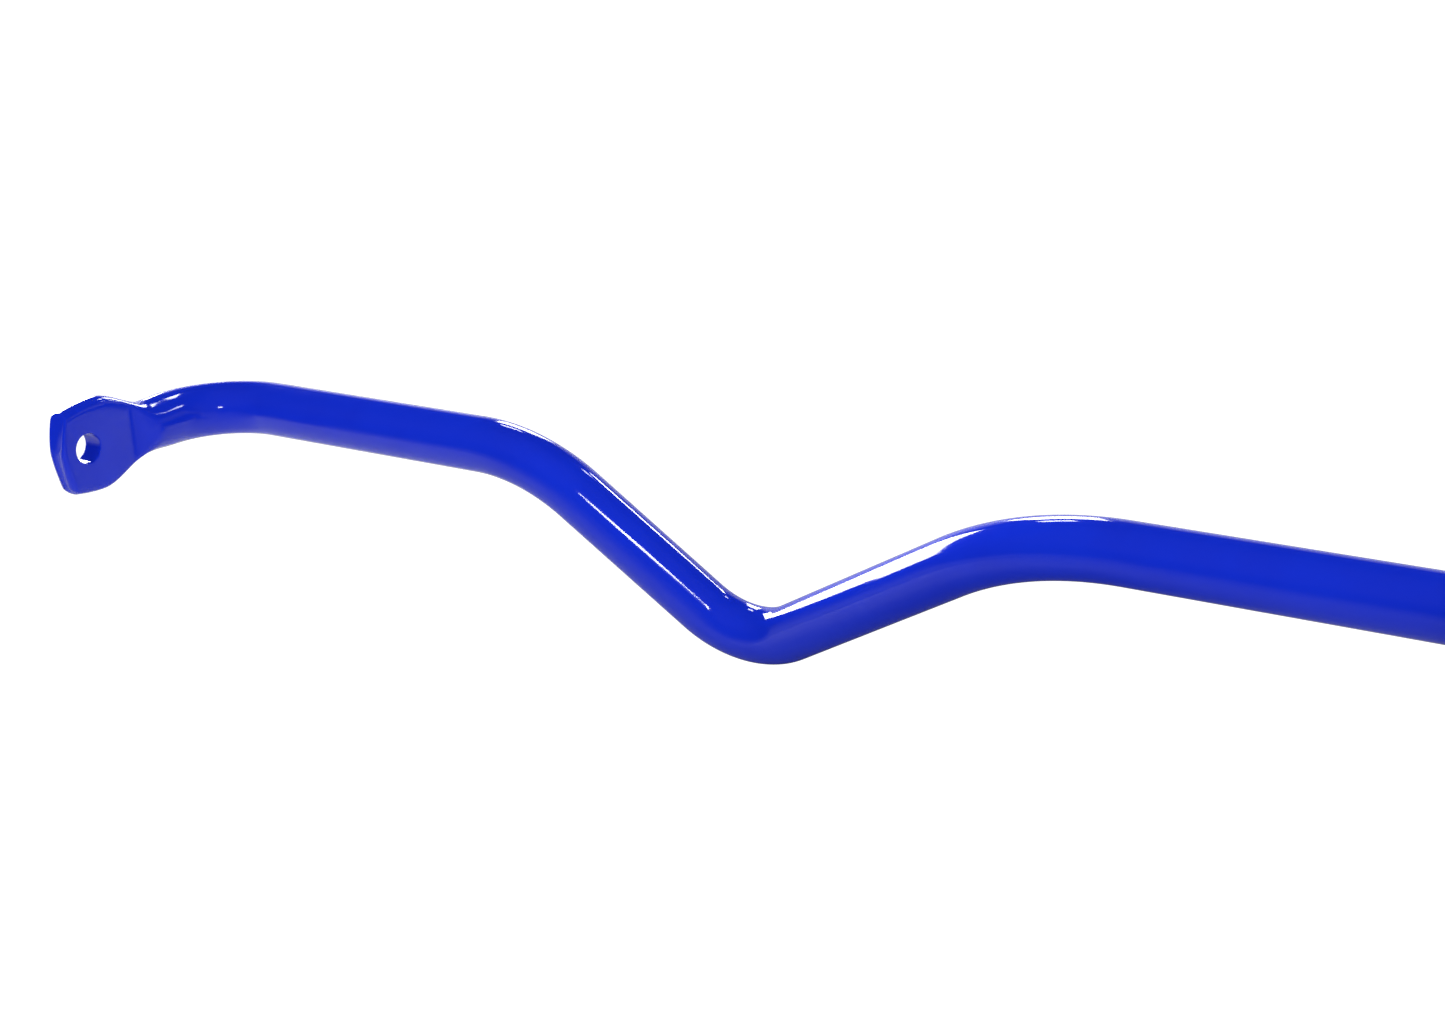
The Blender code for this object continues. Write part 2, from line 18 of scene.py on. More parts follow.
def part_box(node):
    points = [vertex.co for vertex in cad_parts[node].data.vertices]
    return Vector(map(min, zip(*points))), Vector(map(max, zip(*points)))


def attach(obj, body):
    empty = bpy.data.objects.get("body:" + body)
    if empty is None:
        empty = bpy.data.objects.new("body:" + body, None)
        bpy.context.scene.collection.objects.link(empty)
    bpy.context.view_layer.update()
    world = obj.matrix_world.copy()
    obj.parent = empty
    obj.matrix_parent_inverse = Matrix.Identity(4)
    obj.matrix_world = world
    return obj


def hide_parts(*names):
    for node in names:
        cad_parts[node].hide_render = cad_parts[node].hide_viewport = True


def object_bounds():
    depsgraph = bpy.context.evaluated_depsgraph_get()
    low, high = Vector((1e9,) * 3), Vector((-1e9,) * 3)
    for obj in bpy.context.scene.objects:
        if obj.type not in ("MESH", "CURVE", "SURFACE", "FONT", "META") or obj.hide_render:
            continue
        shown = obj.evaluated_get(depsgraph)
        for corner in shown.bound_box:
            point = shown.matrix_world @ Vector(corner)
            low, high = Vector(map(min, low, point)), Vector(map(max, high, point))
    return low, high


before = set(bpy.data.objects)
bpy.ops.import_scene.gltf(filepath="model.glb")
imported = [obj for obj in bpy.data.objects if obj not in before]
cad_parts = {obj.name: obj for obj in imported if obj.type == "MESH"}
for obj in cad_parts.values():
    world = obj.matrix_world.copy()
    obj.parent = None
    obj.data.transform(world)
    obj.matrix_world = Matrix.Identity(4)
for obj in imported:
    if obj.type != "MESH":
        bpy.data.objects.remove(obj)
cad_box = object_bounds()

log = logging.getLogger("sway_bar")

MM = 0.001
MERGE = 1e-6                    # points nearer than this are one point
SEED = 11
AXIS_X = np.array([1.0, 0.0, 0.0])
AXIS_Y = np.array([0.0, 1.0, 0.0])
MIRROR = np.array([-1.0, 1.0])  # turns a flat outline over, by its first number
WHITE = (1.0, 1.0, 1.0, 1.0)
PAST_WHITE = 1.15               # radiance that the camera sees as an even white
FLOOR_COLOUR, FLOOR_ROUGHNESS = (0.62, 0.61, 0.63), 0.9
COAT_COLOUR, COAT_ROUGHNESS = (0.0050, 0.0225, 0.50), 0.08
EYE_AIM = (-0.65, -0.04, 0.015)      # the point that the lamps for the eye face


class Side(Enum):
    """The half of the car that a piece belongs to, by the sign of its X."""

    LEFT = -1.0
    RIGHT = 1.0

    @property
    def label(self) -> str:
        """The word that ends the names of this side's nodes."""
        return self.name.lower()


# ---------------------------------------------------------------- surfaces

def grid_faces(rows: int, columns: int, closed: bool, start: int) -> np.ndarray:
    """Quads between neighbouring points of a grid that is counted row by row.

    Args:
        rows: Number of rows of points.
        columns: Number of points in a row.
        closed: Whether the last column meets the first.
        start: Number of the grid's first point.

    Returns:
        Four point numbers for each quad.
    """
    row = np.arange(rows - 1)[:, None]
    column = np.arange(columns if closed else columns - 1)[None, :]
    following = (column + 1) % columns
    quads = (
        row * columns + column,
        row * columns + following,
        (row + 1) * columns + following,
        (row + 1) * columns + column,
    )
    return np.stack(quads, axis=-1).reshape(-1, 4) + start


@dataclass
class Skin:
    """Grids of points that close into one surface once the points they share are merged."""

    points: list[np.ndarray] = field(default_factory=list)
    faces: list[np.ndarray] = field(default_factory=list)
    marks: list[np.ndarray] = field(default_factory=list)
    count: int = 0

    def add(self, grid: np.ndarray, closed: bool = False, mark: np.ndarray | float = 0.0) -> None:
        """Adds one grid.

        Args:
            grid: Points, as rows by columns by three.
            closed: Whether the last column meets the first.
            mark: How much the surface was worked there, 0 to 1, for its finish.
        """
        rows, columns = grid.shape[:2]
        self.faces.append(grid_faces(rows, columns, closed, self.count))
        self.points.append(grid.reshape(-1, 3))
        self.marks.append(np.broadcast_to(mark, (rows, columns)).reshape(-1))
        self.count += rows * columns

    def add_mirrored(self) -> None:
        """Adds the mirror image, in the plane X = 0, of all that is there."""
        flip = np.array([-1.0, 1.0, 1.0])
        self.faces += [faces[:, ::-1] + self.count for faces in self.faces]
        self.points += [points * flip for points in self.points]
        self.marks += list(self.marks)
        self.count *= 2

    def to_object(self, name: str, crease_degrees: float = 32.0) -> bpy.types.Object:
        """Makes the object: merges shared points, turns the faces out and shades it smooth.

        Args:
            name: Name of the object.
            crease_degrees: Angle between two faces above which their edge is sharp.

        Returns:
            The new object, linked to the scene, with its place in its mesh.
        """
        mesh = bpy.data.meshes.new(name)
        mesh.from_pydata(np.concatenate(self.points), [], np.concatenate(self.faces))
        worked = mesh.attributes.new("worked", "FLOAT", "POINT")
        worked.data.foreach_set("value", np.concatenate(self.marks).astype(np.float32))
        shape = bmesh.new()
        shape.from_mesh(mesh)
        bmesh.ops.remove_doubles(shape, verts=shape.verts, dist=MERGE)
        bmesh.ops.recalc_face_normals(shape, faces=shape.faces)
        open_edges = sum(1 for edge in shape.edges if not edge.is_manifold)
        shape.to_mesh(mesh)
        shape.free()
        mesh.shade_smooth()
        mesh.set_sharp_from_angle(angle=math.radians(crease_degrees))
        obj = bpy.data.objects.new(name, mesh)
        bpy.context.scene.collection.objects.link(obj)
        log.info("%s: %d faces, %d open edges", name, len(mesh.polygons), open_edges)
        return obj


def smoothstep(value: np.ndarray) -> np.ndarray:
    """3 t^2 - 2 t^3 of the value t held between 0 and 1."""
    held = np.clip(value, 0.0, 1.0)
    return held * held * (3.0 - 2.0 * held)


def hump(value: np.ndarray, middle: float, width: float) -> np.ndarray:
    """e^(-t^2), where t is the distance from the middle over the width."""
    return np.exp(-(((value - middle) / width) ** 2))


def unit(vectors: np.ndarray) -> np.ndarray:
    """The vectors, each divided by its length."""
    return vectors / np.linalg.norm(vectors, axis=-1, keepdims=True)


def together(*parts: object) -> np.ndarray:
    """The parts, stretched to one shape, side by side along a new last axis."""
    return np.stack(np.broadcast_arrays(*parts), axis=-1)


def shares(steps: int) -> np.ndarray:
    """Shares from 0 to 1, in this many steps."""
    return np.linspace(0.0, 1.0, steps + 1)


def quarter(steps: int) -> np.ndarray:
    """Angles from 0 to a right angle, in this many steps."""
    return np.linspace(0.0, math.pi / 2, steps + 1)


def full_turn(sides: int) -> np.ndarray:
    """Evenly spaced angles round a full turn, the last one short of the first."""
    return np.linspace(0.0, 2 * math.pi, sides, endpoint=False)


def at_x(x: np.ndarray, plan: np.ndarray) -> np.ndarray:
    """Points (x, y, z) from their X and a plan of (y, z)."""
    return together(x, plan[..., 0], plan[..., 1])


def blend_grid(front: np.ndarray, back: np.ndarray, left: np.ndarray, right: np.ndarray) -> np.ndarray:
    """Fills four joined edges: the sum of the two ruled surfaces less the one through the corners.

    Args:
        front: Points of the first edge, from left to right.
        back: Points of the opposite edge, from left to right.
        left: Points of the left edge, from front to back.
        right: Points of the right edge, from front to back.

    Returns:
        Points as rows, from front to back, by columns.
    """
    down = np.linspace(0.0, 1.0, len(left))[:, None, None]
    along = np.linspace(0.0, 1.0, len(front))[None, :, None]
    ruled = (1 - down) * front[None] + down * back[None]
    ruled = ruled + (1 - along) * left[:, None] + along * right[:, None]
    corners = (1 - down) * ((1 - along) * front[0] + along * front[-1])
    corners = corners + down * ((1 - along) * back[0] + along * back[-1])
    return ruled - corners


# ---------------------------------------------------------------- the bar

@dataclass(frozen=True)
class EyeSide:
    """One side of the eye: its half width grows along the neck and narrows again past the hole.

    Places are along the arm, from the hole. The narrowing is for each metre squared.
    """

    half_width: float
    grows_from: float
    full_at: float
    narrowing: float

    def reach(self, along: np.ndarray, radius: float) -> np.ndarray:
        """Half width along the arm: it grows smoothly from the bar's radius to the full half width.

        From there on it is less by n p^2, where n is the narrowing and p the distance past it.

        Args:
            along: Places along the arm, from the hole.
            radius: Radius of the round bar that the eye grows from.

        Returns:
            The half width at each place.
        """
        grown = smoothstep((along - self.grows_from) / (self.full_at - self.grows_from))
        past = np.maximum(along - self.full_at, 0.0)
        return radius + (self.half_width - radius) * grown - self.narrowing * past**2


@dataclass
class Bar:
    """The one-piece bar: a round bar bent along a path, with a flattened, drilled eye at each end."""

    radius: float = 11.0 * MM
    outer_run: float = 164.0 * MM
    dip_outer_run: float = 80.0 * MM
    dip_inner_run: float = 124.5 * MM
    dip_depth: float = 81.0 * MM
    arm_length: float = 77.0 * MM
    arm_rise: float = math.radians(20.4)
    inner_bend: float = 121.0 * MM
    dip_bend: float = 31.0 * MM
    outer_bend: float = 58.0 * MM
    arm_bend: float = 31.0 * MM

    eye_half_thickness: float = 4.5 * MM
    upper: EyeSide = EyeSide(18.35 * MM, -32.8 * MM, -9.2 * MM, 7.8)
    lower: EyeSide = EyeSide(19.25 * MM, -30.2 * MM, -6.7 * MM, 8.1)
    waist_at: float = -34.3 * MM         # where the neck is drawn in a little, and over what length
    waist_length: float = 6.5 * MM
    waist_depth: float = 0.5 * MM
    flat_from: float = -22.0 * MM
    ramp_from: float = -39.0 * MM        # where the flattening reaches the round bar's skin
    neck_from: float = -46.0 * MM
    neck_half_thickness: float = 22.0 * MM   # past the round bar, so the section is round there
    neck_crease: float = 0.12            # how much of the swelling starts at once
    neck_power: float = 1.8
    end_at: float = 12.2 * MM
    end_fall: float = 3.1 * MM           # of the corners of the end behind its middle
    end_half_width: float = 15.4 * MM
    end_power: float = 1.5
    lower_corner: float = 2.9 * MM
    lower_corner_at: float = 17.0 * MM   # below the middle: where the lower corner begins
    end_rim: float = 0.8 * MM            # at the upper corner
    end_rim_below: float = 2.6 * MM      # at the lower corner
    hole_radius: float = 6.05 * MM
    hole_rim: float = 0.4 * MM
    face_from: float = -10.5 * MM        # where the grid of the drilled face begins

    face_steps: int = 36
    side_steps: int = 16
    length_steps: int = 14
    rim_steps: int = 5
    face_rings: int = 12
    wall_rows: int = 7                   # of points down the hole
    bend_spacing: float = 1.4 * MM
    run_spacing: float = 3.0 * MM
    neck_spacing: float = 1.0 * MM
    flat_power: float = 8.0
    end_rounds: int = 8                  # enough to settle the end's line
    waviness: float = 0.001 * MM         # of each wave of the drawn surface
    wave_lengths: tuple[float, ...] = (9 * MM, 17 * MM, 31 * MM, 58 * MM)
    most_wave_turns: int = 5             # how many of a wave's crests go round the bar
    wave_fade: float = 20.0 * MM         # before the neck, where the waves die away
    jaws: tuple[tuple[float, float], ...] = ((-429 * MM, 6 * MM), (-300 * MM, 8 * MM))
    jaw_strength: float = 0.6
    neck_marks: tuple[float, float] = (-30.0 * MM, 9.0 * MM)     # the place and its length
    face_marks: tuple[float, float] = (-12.0 * MM, 14.0 * MM)

    def arm_x(self) -> float:
        """X of the middle of the left arm, from the frame."""
        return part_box("sway_bar")[0].x + self.radius

    def arm(self) -> np.ndarray:
        """Direction of the arm, from the pivot axis to the eye."""
        return np.array([0.0, -math.cos(self.arm_rise), math.sin(self.arm_rise)])

    def across(self) -> np.ndarray:
        """Direction of the eye's width, square to the arm and to X."""
        return np.array([0.0, math.sin(self.arm_rise), math.cos(self.arm_rise)])

    def hole(self) -> np.ndarray:
        """Middle of the hole of the left eye."""
        return self.arm_x() * AXIS_X + self.arm() * self.arm_length

    def centre_line(self) -> tuple[np.ndarray, np.ndarray]:
        """Stations along the left half: straight runs joined by arcs that touch both.

        Returns:
            Points and directions, from the middle of the bar to the neck of the eye.
        """
        outer = self.arm_x() + self.outer_run
        bottom = outer + self.dip_outer_run
        inner = bottom + self.dip_inner_run
        bends = np.array([(inner, 0.0, 0.0), (bottom, 0.0, -self.dip_depth), (outer, 0.0, 0.0)])
        neck = self.hole() + self.arm() * self.neck_from
        corners = [np.zeros(3), *bends, self.arm_x() * AXIS_X, neck]
        radii = (self.inner_bend, self.dip_bend, self.outer_bend, self.arm_bend)
        start = corners[0]
        points: list[np.ndarray] = []
        directions: list[np.ndarray] = []
        for before, corner, after, radius in zip(corners, corners[1:], corners[2:], radii):
            inward, outward = unit(corner - before), unit(after - corner)
            turn = math.acos(float(np.clip(inward @ outward, -1.0, 1.0)))
            enter = corner - inward * radius * math.tan(turn / 2)
            run = np.linalg.norm(enter - start)
            share = np.linspace(0.0, 1.0, max(2, round(run / self.run_spacing)), endpoint=False)
            points.append(start + (enter - start) * share[:, None])
            directions.append(np.broadcast_to(inward, (len(share), 3)))
            towards_centre = unit(outward - inward * math.cos(turn))
            angles = np.linspace(0.0, turn, round(turn * radius / self.bend_spacing), endpoint=False)
            sine, cosine = np.sin(angles)[:, None], np.cos(angles)[:, None]
            points.append(enter + (inward * sine + towards_centre * (1 - cosine)) * radius)
            directions.append(inward * cosine + towards_centre * sine)
            start = corner + outward * radius * math.tan(turn / 2)
        points.append(start[None])
        directions.append(outward[None])
        return np.concatenate(points), np.concatenate(directions)

    def crossings(self, directions: np.ndarray) -> tuple[np.ndarray, np.ndarray]:
        """Two directions square to the centre line that turn with it and never twist round it.

        Args:
            directions: Directions of the centre line.

        Returns:
            The direction of the eye's thickness and that of its width, at each station.
        """
        in_dip = np.abs(directions[:, 1:2]) < 1e-9
        tilted = math.sin(self.arm_rise) * AXIS_Y + math.cos(self.arm_rise) * np.cross(AXIS_Y, directions)
        wide = np.where(in_dip, tilted, self.across())
        return np.cross(wide, directions), wide

    def corner_angle(self) -> float:
        """Angle round the section at which the eye's flat face meets its bulged side."""
        return math.acos(self.eye_half_thickness / self.radius)

    def angles(self) -> np.ndarray:
        """Angles round a section: face, side, face and side, each in its own number of steps.

        Returns:
            The angles, from one corner of the eye's face round to it again.
        """
        corner = self.corner_angle()
        face = np.linspace(-corner, corner, self.face_steps, endpoint=False)
        side = np.linspace(corner, math.pi - corner, self.side_steps, endpoint=False)
        return np.concatenate([face, side, face + math.pi, side + math.pi])

    def half_width(self, along: np.ndarray, upper: np.ndarray) -> np.ndarray:
        """Half width of the eye, less the slight waist of the neck: a hump round its place.

        Args:
            along: Places along the arm, from the hole.
            upper: Whether each is on the upper side.

        Returns:
            The half width at each place.
        """
        reach = np.where(upper, self.upper.reach(along, self.radius), self.lower.reach(along, self.radius))
        return reach - self.waist_depth * hump(along, self.waist_at, self.waist_length)

    def half_thickness(self, along: np.ndarray) -> np.ndarray:
        """Half thickness: constant over the eye, then growing as c b + (1 - c) b^p towards the bar.

        Args:
            along: Places along the arm, from the hole.

        Returns:
            The half thickness at each place.
        """
        back = np.clip((self.flat_from - along) / (self.flat_from - self.ramp_from), 0.0, 1.0)
        swell = self.neck_crease * back + (1 - self.neck_crease) * back**self.neck_power
        return self.eye_half_thickness + (self.neck_half_thickness - self.eye_half_thickness) * swell

    def height(self, along: np.ndarray, round_height: np.ndarray) -> np.ndarray:
        """The lesser of the round bar's height r and the flat one t, with the corner between eased.

        The two are joined as (r^-n + t^-n)^(-1/n), and the result keeps the sign of r.

        Args:
            along: Places along the arm, from the hole.
            round_height: Height of the round bar's skin there.

        Returns:
            The eased height.
        """
        power = self.flat_power
        size = np.maximum(np.abs(round_height), 1e-12)
        eased = size / (1.0 + (size / self.half_thickness(along)) ** power) ** (1.0 / power)
        return np.sign(round_height) * eased

    def section(self, along: np.ndarray, angles: np.ndarray) -> np.ndarray:
        """Points (along, width, thickness) of the eye's skin at these places and angles round it."""
        width = self.half_width(along, np.sin(angles) > 0.0) * np.sin(angles)
        return together(along, width, self.height(along, self.radius * np.cos(angles) + 0.0 * along))

    def end_line(self, angles: np.ndarray) -> np.ndarray:
        """Where the rim of the end begins, along the arm.

        The sheared end falls back from its middle as a power of the width, and its lower corner
        is rounded. The width depends on the place, so the two are settled in a few rounds.

        Args:
            angles: Angles round the eye.

        Returns:
            The place at each angle.
        """
        along = np.full(np.shape(angles), self.end_at)
        for _ in range(self.end_rounds):
            width = self.half_width(along, np.sin(angles) > 0.0) * np.sin(angles)
            fall = self.end_fall * np.abs(width / self.end_half_width) ** self.end_power
            past = np.clip(-width - self.lower_corner_at, 0.0, 0.98 * self.lower_corner)
            corner = self.lower_corner - np.sqrt(self.lower_corner**2 - past**2)
            along = self.end_at - self.rim_size(angles) - fall - corner
        return along

    def rim_size(self, angles: np.ndarray) -> np.ndarray:
        """Radius of the end's rim, which grows from the upper corner to the lower one."""
        share = smoothstep(0.5 - 0.6 * np.sin(angles))
        return self.end_rim + (self.end_rim_below - self.end_rim) * share

    def to_frame(self, local: np.ndarray) -> np.ndarray:
        """Places (along, width, thickness) on the left arm."""
        return self.hole() + local @ np.array([self.arm(), self.across(), AXIS_X])

    def tube(self, angles: np.ndarray) -> tuple[np.ndarray, np.ndarray]:
        """The round bar from the middle to the neck, and the neck up to the drilled face.

        Args:
            angles: Angles round the section.

        Returns:
            The grid of points and how much the surface was worked at each.
        """
        centre, direction = self.centre_line()
        thick, wide = self.crossings(direction)
        outward = thick[:, None] * np.cos(angles)[:, None] + wide[:, None] * np.sin(angles)[:, None]
        travelled = np.concatenate([[0.0], np.cumsum(np.linalg.norm(np.diff(centre, axis=0), axis=1))])
        fade = smoothstep((travelled[-1] - travelled) / self.wave_fade)[:, None]
        wave = self.waves(travelled[:, None], angles) * fade
        round_bar = centre[:, None] + outward * (self.radius + wave)[..., None]
        neck_steps = round((self.face_from - self.neck_from) / self.neck_spacing)
        along = np.linspace(self.neck_from, self.face_from, neck_steps + 1)[1:, None]
        neck = self.to_frame(self.section(along, angles))
        marks = [self.tool_marks(centre[:, :1] + 0.0 * angles), self.hammer_marks(along, angles)]
        return np.concatenate([round_bar, neck]), np.concatenate(marks)

    def waves(self, travelled: np.ndarray, angles: np.ndarray) -> np.ndarray:
        """Slow unevenness of a drawn and bent bar: a sum of waves sin(2 pi s / l + n a + phase).

        Args:
            travelled: Length s of the bar up to each station.
            angles: Angles a round the section.

        Returns:
            The height of the surface at each station and angle.
        """
        random = np.random.default_rng(SEED)
        total = 0.0 * travelled * angles
        for turns in range(1, self.most_wave_turns + 1):
            for length in self.wave_lengths:
                phase = random.uniform(0.0, 2 * math.pi)
                total += np.sin(2 * math.pi * travelled / length + turns * angles + phase)
        return total * self.waviness

    def tool_marks(self, x: np.ndarray) -> np.ndarray:
        """Where the bender's jaws gripped: a soft patch round the bar at each of their places."""
        return self.jaw_strength * sum(hump(x, place, length) for place, length in self.jaws)

    def hammer_marks(self, along: np.ndarray, angles: np.ndarray) -> np.ndarray:
        """Where the forging die left its marks, over the neck and along the face's upper edge.

        Args:
            along: Places along the arm, from the hole.
            angles: Angles round the section.

        Returns:
            How much the surface was worked there, 0 to 1.
        """
        neck = hump(along, *self.neck_marks) * smoothstep(np.sin(angles) + 0.4)
        edge = hump(along, *self.face_marks) * smoothstep(np.sin(angles) * 4 - 2.6)
        return np.clip(neck + edge, 0.0, 1.0)

    def add_end(self, skin: Skin, angles: np.ndarray) -> None:
        """Adds the sides of the eye, its sheared end and the eased rim round that.

        Args:
            skin: The surface to add to.
            angles: Angles round the section, as angles() gives them.
        """
        last = self.end_line(angles)
        share = shares(self.length_steps)[:, None]
        face, side = self.face_steps, self.side_steps
        for first in (face, 2 * face + side):
            chosen = np.arange(first, first + side + 1) % len(angles)
            along = self.face_from + (last[chosen] - self.face_from) * share
            skin.add(self.to_frame(self.section(along, angles[chosen])))
        loop = self.section(last, angles)
        run = np.roll(loop, -1, axis=0) - np.roll(loop, 1, axis=0)
        outward = unit(together(0.0, -run[:, 2], run[:, 1]))
        outward *= np.sign(np.sum(outward * loop, axis=1, keepdims=True))
        turn = quarter(self.rim_steps)[:, None, None]
        size = self.rim_size(angles)[:, None]
        rim = loop + size * (AXIS_X * np.sin(turn) - outward * (1 - np.cos(turn)))
        skin.add(self.to_frame(rim), closed=True)
        ring = rim[-1]
        front = ring[: face + 1]
        right = ring[face : face + side + 1]
        back = ring[face + side : 2 * face + side + 1][::-1]
        left = np.concatenate([ring[2 * face + side :], ring[:1]])[::-1]
        skin.add(self.to_frame(blend_grid(front, back, left, right)))

    def add_faces(self, skin: Skin, angles: np.ndarray) -> None:
        """Adds the two drilled faces: straight spokes from the hole's rim to the face's outline.

        Args:
            skin: The surface to add to.
            angles: Angles round the section, as angles() gives them.
        """
        corner = self.corner_angle()
        face_angles = np.append(angles[: self.face_steps], corner)
        start = self.section(np.full(face_angles.shape, self.face_from), face_angles)
        end = self.section(self.end_line(face_angles), face_angles)
        sides = []
        for angle in (corner, -corner):
            last = self.end_line(np.array([angle]))
            along = self.face_from + (last - self.face_from) * shares(self.length_steps)
            sides.append(self.section(along, angle))
        outline = np.concatenate([start[:-1], sides[0][:-1], end[::-1][:-1], sides[1][::-1][:-1]])
        bearing = np.arctan2(outline[:, 1], outline[:, 0])
        spoke = np.stack([np.cos(bearing), np.sin(bearing)])
        inner = spoke * (self.hole_radius + self.hole_rim)
        share = shares(self.face_rings)[:, None]
        along, width = (outline[:, k] * (1 - share) + inner[k] * share for k in (0, 1))
        share_of_width = np.clip(width / self.half_width(along, width > 0.0), -1.0, 1.0)
        thick = self.height(along, self.radius * np.sqrt(1.0 - share_of_width**2))
        thick[0] = outline[:, 2]
        top = thick[-1]
        marks = self.hammer_marks(along, np.arcsin(share_of_width))
        turn = quarter(self.rim_steps)[:, None]
        rim = (self.hole_radius + self.hole_rim * (1 - np.sin(turn)))[None] * spoke[:, None]
        drop = self.hole_rim * (1 - np.cos(turn))
        for sign in (1.0, -1.0):
            skin.add(self.to_frame(together(along, width, sign * thick)), closed=True, mark=marks)
            skin.add(self.to_frame(together(*rim, sign * (top - drop))), closed=True)
        wall = np.linspace(1.0, -1.0, self.wall_rows)[:, None] * (top - self.hole_rim)
        skin.add(self.to_frame(together(*(self.hole_radius * spoke), wall)), closed=True)

    def build(self) -> bpy.types.Object:
        """Makes the whole bar as one closed surface.

        Returns:
            The bar's object.
        """
        angles = self.angles()
        skin = Skin()
        grid, marks = self.tube(angles)
        skin.add(grid, closed=True, mark=marks)
        self.add_end(skin, angles)
        self.add_faces(skin, angles)
        skin.add_mirrored()
        return skin.to_object("powder_coated_bar", crease_degrees=60.0)

    def dress(self, obj: bpy.types.Object, finish: "PowderCoat") -> None:
        """Puts the finish on the bar and ties it to the frame.

        Args:
            obj: The bar's object.
            finish: Its finish.
        """
        obj.data.materials.append(finish.material())
        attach(obj, "bar")
        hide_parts("sway_bar")


# ---------------------------------------------------------------- mountings

def turned_grid(heights: np.ndarray, radii: np.ndarray, sides: int) -> np.ndarray:
    """Points of a piece turned about Z.

    Args:
        heights: Height of each row.
        radii: Radius of each row, or of each row and angle.
        sides: Number of points round it.

    Returns:
        Points as rows by angles.
    """
    turn = full_turn(sides)
    reach = np.reshape(radii, (len(heights), -1))
    return together(reach * np.cos(turn), reach * np.sin(turn), np.reshape(heights, (-1, 1)))


def hexagon(across_flats: float, sides: int) -> np.ndarray:
    """Radius of a hexagon at evenly spaced angles, from its width across the flats."""
    sector = (full_turn(sides) + math.pi / 6) % (math.pi / 3) - math.pi / 6
    return across_flats / 2 / np.cos(sector)


@dataclass
class Mounting:
    """Sizes that the pieces of a mounting share, and what each piece does to join the frame."""

    saddle_at: float = 110.0 * MM        # from the middle of the bar
    chassis: float = 18.0 * MM           # height of the chassis face above the pivot axis
    bolt_offset: float = 36.1 * MM
    thickness: float = 4.0 * MM          # of the saddle
    sides: int = 48

    def tie(
        self, obj: bpy.types.Object, node: str, slot: str, finish: "Finish", body: str = "mountings"
    ) -> None:
        """Dresses a piece and ties it to the frame.

        Args:
            obj: The piece's object.
            node: The node that it replaces.
            slot: Not used.
            finish: Its finish.
            body: The body that it rides on.
        """
        obj.data.materials.append(finish.material())
        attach(obj, body)
        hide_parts(node)

    def add(self, skin: Skin, node: str, slot: str, finish: "Finish", body: str = "mountings") -> None:
        """Makes an object of a piece's surface, dresses it and ties it to the frame."""
        self.tie(skin.to_object(f"{node}_detail", crease_degrees=34.0), node, slot, finish, body)


@dataclass
class Turned(Mounting):
    """A fastener that is turned about an upright axis, given row by row."""

    seat: float = 0.0
    sides: int = 96

    def rows(self) -> list[tuple[np.ndarray, np.ndarray]]:
        """Height and radius of the rows of each stretch, in the order in which they join."""
        raise NotImplementedError

    def build(self, x: float, y: float) -> Skin:
        """Makes the piece as one closed surface.

        Args:
            x: X of its axis.
            y: Y of its axis.

        Returns:
            Its surface, in its place.
        """
        grid = np.concatenate([turned_grid(tall, wide, self.sides) for tall, wide in self.rows()])
        skin = Skin()
        skin.add(grid + np.array([x, y, self.seat]), closed=True)
        return skin


